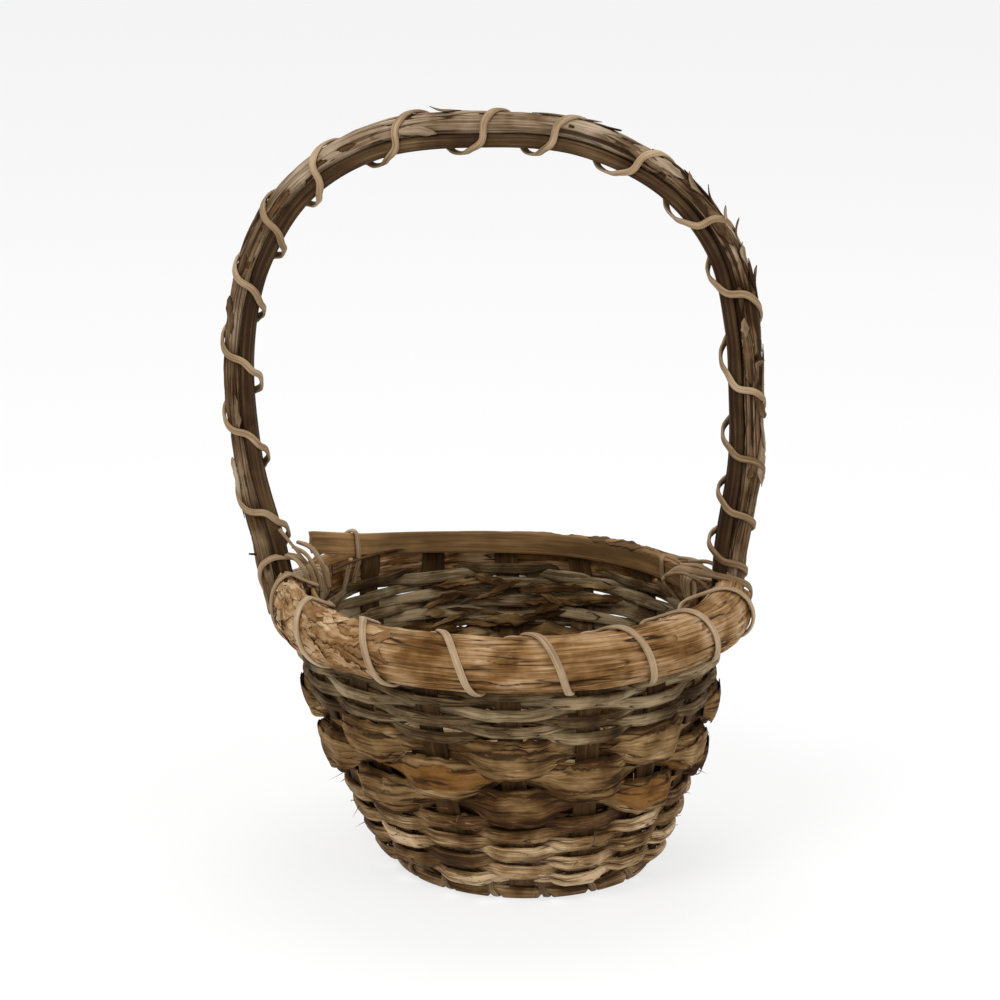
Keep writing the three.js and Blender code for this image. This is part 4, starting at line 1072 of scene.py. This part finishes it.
def lay_core_rods():
    """Two split rods side by side on the inside of the handle."""
    turn = turns(26)
    for name, side, seed in (("front", -CORE_SIDE, 700), ("back", CORE_SIDE, 720)):
        place = np.linspace(0, 1, 440)
        path, outward = beside_seam(place, crown_lift(place) - CORE_RADIUS, side)
        along = place * SEAM_LENGTH
        wide, thick = across_path(path, outward)
        ribs = crests(round_points(along[:, None], turn, CORE_RADIUS, 160, 1.7), seed, 2)
        bulge = 1.03 + 0.16 * (ribs - 0.86) + 0.03 * line_grain(along, seed + 2, 25)[:, None]
        points = oval(path, wide, thick, CORE_RADIUS * bulge, CORE_RADIUS * bulge, turn, 2.3)
        marks = {"tone": 0.5 + 0.5 * (ribs - 0.8) + 0.1 * line_grain(along, seed + 3, 60)[:, None],
                 "crack_and_shade": 0.9 * ease(0.74 - ribs, 0.0, 0.2)}
        lay_skin(f"handle_rod_{name}", [(points, marks)], rod_finish,
                 [f"handle_core_{name}"])


def lay_bark_rod():
    """The bark-covered rod on the outside of the handle, wildest on its right shoulder."""
    turn = turns(84)
    foot = 5 / SEAM_LENGTH
    place = np.linspace(foot, 1 - foot, 780)
    along = (place * SEAM_LENGTH)[:, None]
    diameter = bark_diameter(place)
    path, outward = beside_seam(place, crown_lift(place) + diameter / 2 - BARK_SINK)
    wide, thick = across_path(path, outward)
    shoulder = 0.9 * ease(place, 0.55, 0.66) * (1 - ease(place, 0.84, 0.95))
    leg = 0.35 * ease(place, 0.1, 0.2) * (1 - ease(place, 0.3, 0.42))
    wild = (0.35 + shoulder + leg)[:, None]
    push, tone, crack_and_shade, layer = bark_surface(along, turn, 5.5, 740, fold=1.3, torn=-0.42, depth=0.5)
    fibres = crests(round_points(along, turn, 5.5, 48, 1.4), 760, 2)
    push = push * (0.55 + 0.5 * wild) + 0.9 * wild * (fibres - 0.75)
    crack_and_shade = np.clip(crack_and_shade + 0.8 * wild * ease(0.7 - fibres, 0.0, 0.2), 0, 1)
    crown = ease(place, 0.28, 0.42) * (1 - ease(place, 0.58, 0.7))
    tone = tone + 0.24 * crown[:, None] - 0.14 * wild + 0.05
    inward = ease(-np.sin(turn), 0.45, 0.85)
    push = np.clip(push, -2.0, 0.9) * (1 - inward) + np.clip(push, -0.3, 0.3) * inward
    half = diameter[:, None] / 2 + push
    points = oval(path, wide, thick, half, half, turn)
    cover = (points, {"tone": tone, "crack_and_shade": crack_and_shade, "layer": layer})
    lay_skin("handle_bark_rod_cover", [cover] + handle_shreds(), handle_finish,
             ["handle_bark_rod"])


# Cane
def support(points, angle, padding):
    """Where a taut loop round a set of section points touches them in each direction, moved out by
    a padding."""
    direction = np.stack([np.cos(angle), np.sin(angle)], -1)
    best = np.argmax(direction @ points.T, axis=1)
    return points[best] + padding * direction, direction


def cane_sheet(path, out, width, seed, *, thickness=CANE_THICKNESS, step=0.9, taper=0.0, tone=0.5,
               reach=2.2):
    """Flat-oval cane along a path: laid at even steps, softened, with a slow waver of its width."""
    path, out = softened_strip(path, out, step, reach)
    along = lengths_of(path)
    wide, thick = across_path(path, out)
    turn = turns(16)
    ends = 1 - taper * (1 - ease(np.minimum(along, along[-1] - along), 0, 14))
    body = (1 + 0.07 * line_grain(along, seed, 18)) * ends
    ribs = crests(round_points(along[:, None], turn, 1.6, 80, 0.9), seed + 1, 2)
    points = oval(path, wide, thick, (width / 2 * body)[:, None] * (1 + 0.06 * (ribs - 0.8)),
                  (thickness / 2 * ends)[:, None] * (1 + 0.16 * (ribs - 0.8)), turn, 2.7)
    marks = {"tone": tone + 0.13 * line_grain(along, seed + 3, 30)[:, None] + 0.25 * (ribs - 0.8),
             "crack_and_shade": 0.5 * ease(ribs, 0.96, 1.0)}
    return points, marks


def section_oval(size, height, narrower):
    """Points round the section of a roll."""
    angle = TAU * np.arange(96) / 96
    return np.column_stack([ROLL_RADIUS - narrower / 2 + (ROLL_RADIAL - narrower) / 2 * np.cos(angle),
                            height + size / 2 * np.sin(angle)])


def lay_cane(name, sheets, node):
    """One piece of cane, which stands for a node."""
    lay_skin(name, sheets, cane_finish, [node])


def rim_lashing(start, pitch, first, last, table, size, height):
    """Cane round the rim: each turn starts under the roll, climbs its outside and drops inside the
    hoop, while its azimuth follows a table of shares of the pitch."""
    turn = np.arange(round(first * TURN_STEPS), round(last * TURN_STEPS) + 1) / TURN_STEPS
    share = turn - np.floor(turn)
    azimuth = start - pitch * (np.floor(turn) + np.interp(share, *table))
    angle = TAU * (turn + 0.75)
    inner = HOOP_RADIUS - HOOP_THICKNESS / 2
    reach = CANE_WIDTH / inner
    path = np.empty((len(turn), 2))
    direction = np.empty((len(turn), 2))
    for number, (a, phi) in enumerate(zip(azimuth, angle)):
        corners = [[inner, HOOP_HEIGHT - HOOP_WIDTH / 2 + float(hoop_rise(a - reach))],
                   [inner, HOOP_HEIGHT + HOOP_WIDTH / 2 + float(hoop_rise(a + reach))]]
        roll = section_oval(size, height, float(rim_pull(a)))
        place, way = support(np.vstack([roll, corners]), np.array([phi]), CANE_PAD)
        path[number], direction[number] = place[0], way[0]
    return around(path[:, 0], path[:, 1], azimuth), around(direction[:, 0], direction[:, 1], azimuth)


# How a turn moves along the rim: shares of the turn, and shares of the pitch that it has covered
RIM_TURN = ([0, 0.25, 0.5, 0.75, 0.833, 1], [0, 0.16, 0.36, 0.72, 0.97, 1])
EVEN_TURN = ([0, 1], [0, 1])


def loose_cane(points, outs, width, seed, **more):
    """Cane through a few chosen points, smoothed to one curve."""
    path, out = softened_strip(np.array(points, float), np.array(outs, float), 1.0, 6.0)
    return cane_sheet(path, out, width, seed, **more)


# Canes of the foot lashings that are placed one by one, as they lie in the leaning basket: a loop at
# each foot, strands over it with their width and seed, and a twig's end. OVER is the way out of a
# strand at its four points.
FOOT_LOOPS = {
    "left": [(-88, 14, 140), (-93, 6, 149), (-99, -4, 154), (-107, -8, 155), (-113.5, -7, 150),
             (-114, -3, 142), (-111, 2, 133), (-107, 6, 126), (-102, 9, 120)],
    "right": [(84, 16, 139), (90, 5, 148), (99, -8, 150), (109, -11.5, 149), (119, -8, 146),
              (126, -1, 141), (127, 4, 134), (121, 8, 126), (113, 10, 120)],
}
FOOT_STRANDS = {
    "left": [([(-104, -8, 169), (-98, -10, 162), (-93, -8, 155), (-88, -4, 147)], 1.6, 841),
             ([(-103, -4, 154.5), (-97, -8, 155.5), (-92, -10, 150), (-89, -9, 140)], 2.2, 843),
             ([(-101, 2, 153.5), (-93, -5, 154), (-88, -7, 147), (-86, -6, 137)], 2.6, 844),
             ([(-98, 6, 156), (-91, 0, 154.5), (-86, -3, 146.5), (-84, -3, 136)], 2.0, 847),
             ([(-96, 11, 157), (-89, 6, 156.5), (-83, 3, 147.5), (-80, 3, 136)], 2.6, 848)],
    "right": [([(84, -2, 146), (92, -9, 150), (101, -9, 146), (108, -6, 137)], 1.7, 846),
              ([(92, 6, 149), (101, -4, 152), (110, -10, 148), (115, -12, 138)], 2.4, 849),
              ([(96, 9, 150), (106, 0, 153), (116, -5, 147), (121, -6, 137)], 2.0, 851)],
}
TWIG_END = [(-104, 3, 152), (-110, 0, 153.5), (-115, -3, 154.5), (-119, -4, 155)]
OVER = [(0, 0, 1), (-0.3, -0.7, 0.7), (0, -1, 0.3), (0, -1, 0)]


def lay_lashings():
    """Cane that ties the rim together, the ties behind it, and the turns at each handle foot."""
    path, out = rim_lashing(math.pi / 2 - STAKE_STEP / 2 + 0.22 * STAKE_STEP, STAKE_STEP, -0.25, 7.667,
                            RIM_TURN, **FRONT_ROLL)
    lay_cane("front_rim_lashing", [cane_sheet(path, out, 3.7, 800, tone=0.66, reach=5.0)],
             "rim_lashing_front")
    for side, stake in (("left", 10.5), ("right", 5.5)):
        path, out = rim_lashing(stake * STAKE_STEP, 2 * CANE_WIDTH / ROLL_RADIUS, -0.25, 1.25, EVEN_TURN,
                                **BACK_ROLL)
        lay_cane(f"rim_tie_{side}_cane", [cane_sheet(path, out, 2.6, 810 + int(stake), reach=5.0)],
                 f"rim_tie_{side}")
    twig = loose_cane(unleaned(TWIG_END), OVER, 2.4, 842, thickness=2.0, taper=0.6, tone=-0.1)
    lay_skin("twig_end_left", [twig], stake_finish)
    pitch, gap = FOOT_PITCH / ROLL_RADIUS, FOOT_GAP / HOOP_RADIUS
    for side, start, seed, loop_seed in (("left", 1.5 * math.pi - gap, 820, 840),
                                         ("right", math.pi / 2 + gap + 4.25 * pitch, 830, 845)):
        path, out = rim_lashing(start, pitch, 0.25, 4, EVEN_TURN, **BACK_ROLL)
        path[:, 1] += 1.3 * line_grain(lengths_of(path), 821, 34)
        sheets = [cane_sheet(path, out, 3.3, seed, thickness=1.5, reach=7.0)]
        sheets += [loose_cane(unleaned(points), OVER, width, strand_seed)
                   for points, width, strand_seed in FOOT_STRANDS[side]]
        loop = unleaned(FOOT_LOOPS[side])
        away = loop - loop.mean(0)
        away = away / np.linalg.norm(away, axis=1)[:, None]
        sheets.append(loose_cane(loop, away, 3.6, loop_seed))
        lay_cane(f"foot_lashing_{side}_cane", sheets, f"foot_lashing_{side}")


# Where the binding crosses the front of the handle, as shares of its length
CROSSINGS = np.array([0.089, 0.151, 0.208, 0.266, 0.317, 0.369, 0.435, 0.5, 0.551, 0.614, 0.677, 0.734,
                      0.808, 0.862, 0.906, 0.945])


def lay_binding():
    """Cane wound round all three rods: it crosses the front at the places of CROSSINGS and stands
    a little off the rods on the inner side."""
    turn = np.arange(round(-0.45 * TURN_STEPS), round(15.35 * TURN_STEPS) + 1) / TURN_STEPS
    whole = np.round(turn)
    swing = turn - whole
    eased = np.interp(swing, [-0.5, -0.41, -0.14, 0.22, 0.5], [-0.5, -0.5, -0.14, 0.2, 0.5])
    loose = 1.3 + 1.7 * (0.5 + 0.5 * line_grain(whole * 3.7, 861, 1))
    even = np.clip(whole + eased, 0, 15)
    beyond = whole + eased - even
    end_pitch = np.where(beyond < 0, CROSSINGS[1] - CROSSINGS[0], CROSSINGS[-1] - CROSSINGS[-2])
    place = np.interp(even, np.arange(16), CROSSINGS) + beyond * end_pitch
    circle = TAU * np.arange(TURN_STEPS) / TURN_STEPS
    ring = np.column_stack([np.cos(circle), np.sin(circle)])
    section, direction = np.empty((len(turn), 2)), np.empty((len(turn), 2))
    for number, (here, phi) in enumerate(zip(place, TAU * turn)):
        radius = float(bark_diameter(here)) / 2
        wrapped = np.vstack([
            ring * CORE_RADIUS + [CORE_SIDE, -CORE_SIDE], ring * CORE_RADIUS + [-CORE_SIDE, -CORE_SIDE],
            ring * radius + [0, radius - BARK_SINK], ring * 2.9 + [0, -3.9 - loose[number]]])
        spot, way = support(wrapped, np.array([phi]), CANE_PAD)
        section[number], direction[number] = spot[0], way[0]
    path, outward = beside_seam(place, section[:, 1] + crown_lift(place), -section[:, 0])
    out = outward * direction[:, 1:2]
    out[:, 1] -= direction[:, 0]
    lay_cane("handle_binding_cane", [cane_sheet(path, out, 3.5, 850, step=0.8, reach=6.0)],
             "handle_binding")


# Base
def ring_section(bottom):
    """Corners of the base ring's section where its underside is pressed in to a height."""
    inner, outer = RING_RADIUS - RING_WIDTH / 2, RING_RADIUS + RING_WIDTH / 2
    chamfer, middle = RING_WIDTH / 6, bottom + (RING_HEIGHT - bottom) / 2
    return np.array([[outer - chamfer, bottom], [outer, middle], [outer - chamfer, RING_HEIGHT],
                     [inner + chamfer, RING_HEIGHT], [inner, middle], [inner + chamfer, bottom]])


def lay_base_ring():
    """Two stems side by side under the stakes, pressed in where the lashing passes under them."""
    rows, turn = STAKES * TURN_STEPS, turns(28)
    bays = np.linspace(-0.06, STAKES + 0.06, rows) + STAKES / 2
    share = bays - np.floor(bays)
    azimuth = bays * STAKE_STEP
    sheets = []
    for number, (radius, half, centre) in enumerate(((56.75, 2.3, 0.55), (61.25, 2.3, 0.45))):
        seed = 900 + 20 * number
        dent = 2.3 * (1 - ease(np.abs(share - centre), 0.06, 0.17))
        run = (bays * STAKE_STEP * radius)[:, None]
        folds = crests(round_points(run, turn, 2.3, 46, 1.5), seed, 2)
        waver = 0.5 * line_grain(run[:, 0], seed + 2, 20)
        knots = fine_grain(round_points(run, turn, 2.3, 9, 3), seed + 3, 2)
        half_high = (RING_HEIGHT - dent) / 2
        path = around(radius + waver, dent + half_high, azimuth)
        wide, thick = around(1.0, 0.0, azimuth), np.tile([0.0, 0.0, 1.0], (rows, 1))
        swell = 1 + 0.22 * (folds - 0.9) + 0.08 * knots
        points = oval(path, wide, thick, (half * 1.06) * swell,
                      half_high[:, None] * (1 + 0.1 * (folds - 1)), turn, 2.4)
        points[..., 2] = np.maximum(points[..., 2], 0.0)
        marks = {"tone": 0.5 + 0.35 * (folds - 0.75) + 0.25 * waver[:, None],
                 "crack_and_shade": np.clip(0.7 * ease(0.72 - folds, 0, 0.2), 0, 1)}
        sheets.append((points, marks))
    lay_skin("base_ring_stems", sheets, pale_stem_finish, ["base_ring"])


def lay_base_lashing():
    """Cane wound round the base ring and the stakes, one turn in each bay."""
    turn_table = ([0, 0.042, 0.125, 0.25, 0.5, 0.75, 0.875, 0.958, 1],
                  [0, 0.34, 0.37, 0.4, 0.5, 0.6, 0.63, 0.66, 1])
    lines = np.linspace(0.042, STAKES - 0.084, STAKES * TURN_STEPS)
    stake_top = BASE_HEIGHT + STAKE_THICKNESS / 2
    wrapped = np.vstack([ring_section(RING_DENT), [[RING_RADIUS - RING_WIDTH / 3, stake_top],
                                                   [RING_RADIUS, stake_top]]])
    share = lines - np.floor(lines)
    azimuth = (np.floor(lines) + np.interp(share, *turn_table)) * STAKE_STEP
    spot, way = support(wrapped, math.pi / 2 - TAU * lines, CANE_PAD)
    path = around(spot[:, 0], spot[:, 1], azimuth)
    out = around(way[:, 0], way[:, 1], azimuth)
    lay_cane("base_lashing_cane", [cane_sheet(path, out, 3.4, 950, tone=0.3)], "base_lashing")


lay_stakes()
lay_rows()
lay_bark_rows()
lay_loose_bark()
lay_rolls()
lay_hoop()
lay_core_rods()
lay_bark_rod()
lay_lashings()
lay_binding()
lay_base_ring()
lay_base_lashing()


# Floor and light
def lay_floor():
    """A wide pale floor that the camera sees almost white, with the basket's soft shadow kept."""
    mesh = bpy.data.meshes.new("floor")
    side = 30.0
    corners = [(-side, -side, 0), (side, -side, 0), (side, side, 0), (-side, side, 0)]
    mesh.from_pydata(corners, [], [(0, 1, 2, 3)])
    floor = bpy.data.objects.new("floor", mesh)
    bpy.context.scene.collection.objects.link(floor)
    bench = Bench("pale_floor")
    bench.shader.inputs["Base Color"].default_value = (0.9, 0.9, 0.9, 1)
    bench.shader.inputs["Roughness"].default_value = 0.9
    seen = bench.put("LightPath")
    bent = bench.sums("MAXIMUM", seen.outputs["Is Glossy Ray"], seen.outputs["Is Transmission Ray"])
    direct = bench.sums("MAXIMUM", seen.outputs["Is Camera Ray"], bent)
    glow = bench.put("Emission", {"Color": (1, 1, 1, 1), "Strength": 1.0})
    mix = bench.put("MixShader", {"Fac": bench.sums("MULTIPLY", direct, 0.72)})
    bench.give(mix.inputs[1], bench.shader.outputs[0])
    bench.give(mix.inputs[2], glow.outputs[0])
    bench.give(bench.tree.nodes["Material Output"].inputs["Surface"], mix.outputs[0])
    mesh.materials.append(bench.material)


def light_sky():
    """White surroundings for the camera, soft grey light for the basket."""
    world = bpy.data.worlds.new("studio")
    bpy.context.scene.world = world
    world.use_nodes = True
    tree = world.node_tree
    sky = tree.nodes["Background"]
    path = tree.nodes.new("ShaderNodeLightPath")
    seen = tree.nodes.new("ShaderNodeMath")
    seen.operation = "MAXIMUM"
    tree.links.new(path.outputs["Is Camera Ray"], seen.inputs[0])
    tree.links.new(path.outputs["Is Glossy Ray"], seen.inputs[1])
    level = tree.nodes.new("ShaderNodeMapRange")
    level.inputs["To Min"].default_value = 0.62
    level.inputs["To Max"].default_value = 1.0
    tree.links.new(seen.outputs[0], level.inputs["Value"])
    tree.links.new(level.outputs[0], sky.inputs["Strength"])
    sky.inputs["Color"].default_value = (1, 1, 1, 1)


def hang_lamp(name, place, aim, size, power):
    """Round soft lamp at a place, turned to its aim."""
    data = bpy.data.lights.new(name, "AREA")
    data.shape, data.size, data.energy = "DISK", size, power
    lamp = bpy.data.objects.new(name, data)
    lamp.location = place
    lamp.rotation_euler = (Vector(aim) - Vector(place)).to_track_quat("-Z", "Y").to_euler()
    bpy.context.scene.collection.objects.link(lamp)


lay_floor()
light_sky()
hang_lamp("key_lamp", (-0.9, -1.5, 1.9), (0, 0, 0.15), 1.0, 26)
hang_lamp("fill_lamp", (1.4, -1.1, 1.0), (0, 0, 0.15), 1.4, 9)
hang_lamp("top_lamp", (0.1, 0.5, 2.0), (0, 0, 0.1), 1.2, 12)

bpy.context.scene.view_settings.view_transform = "Standard"
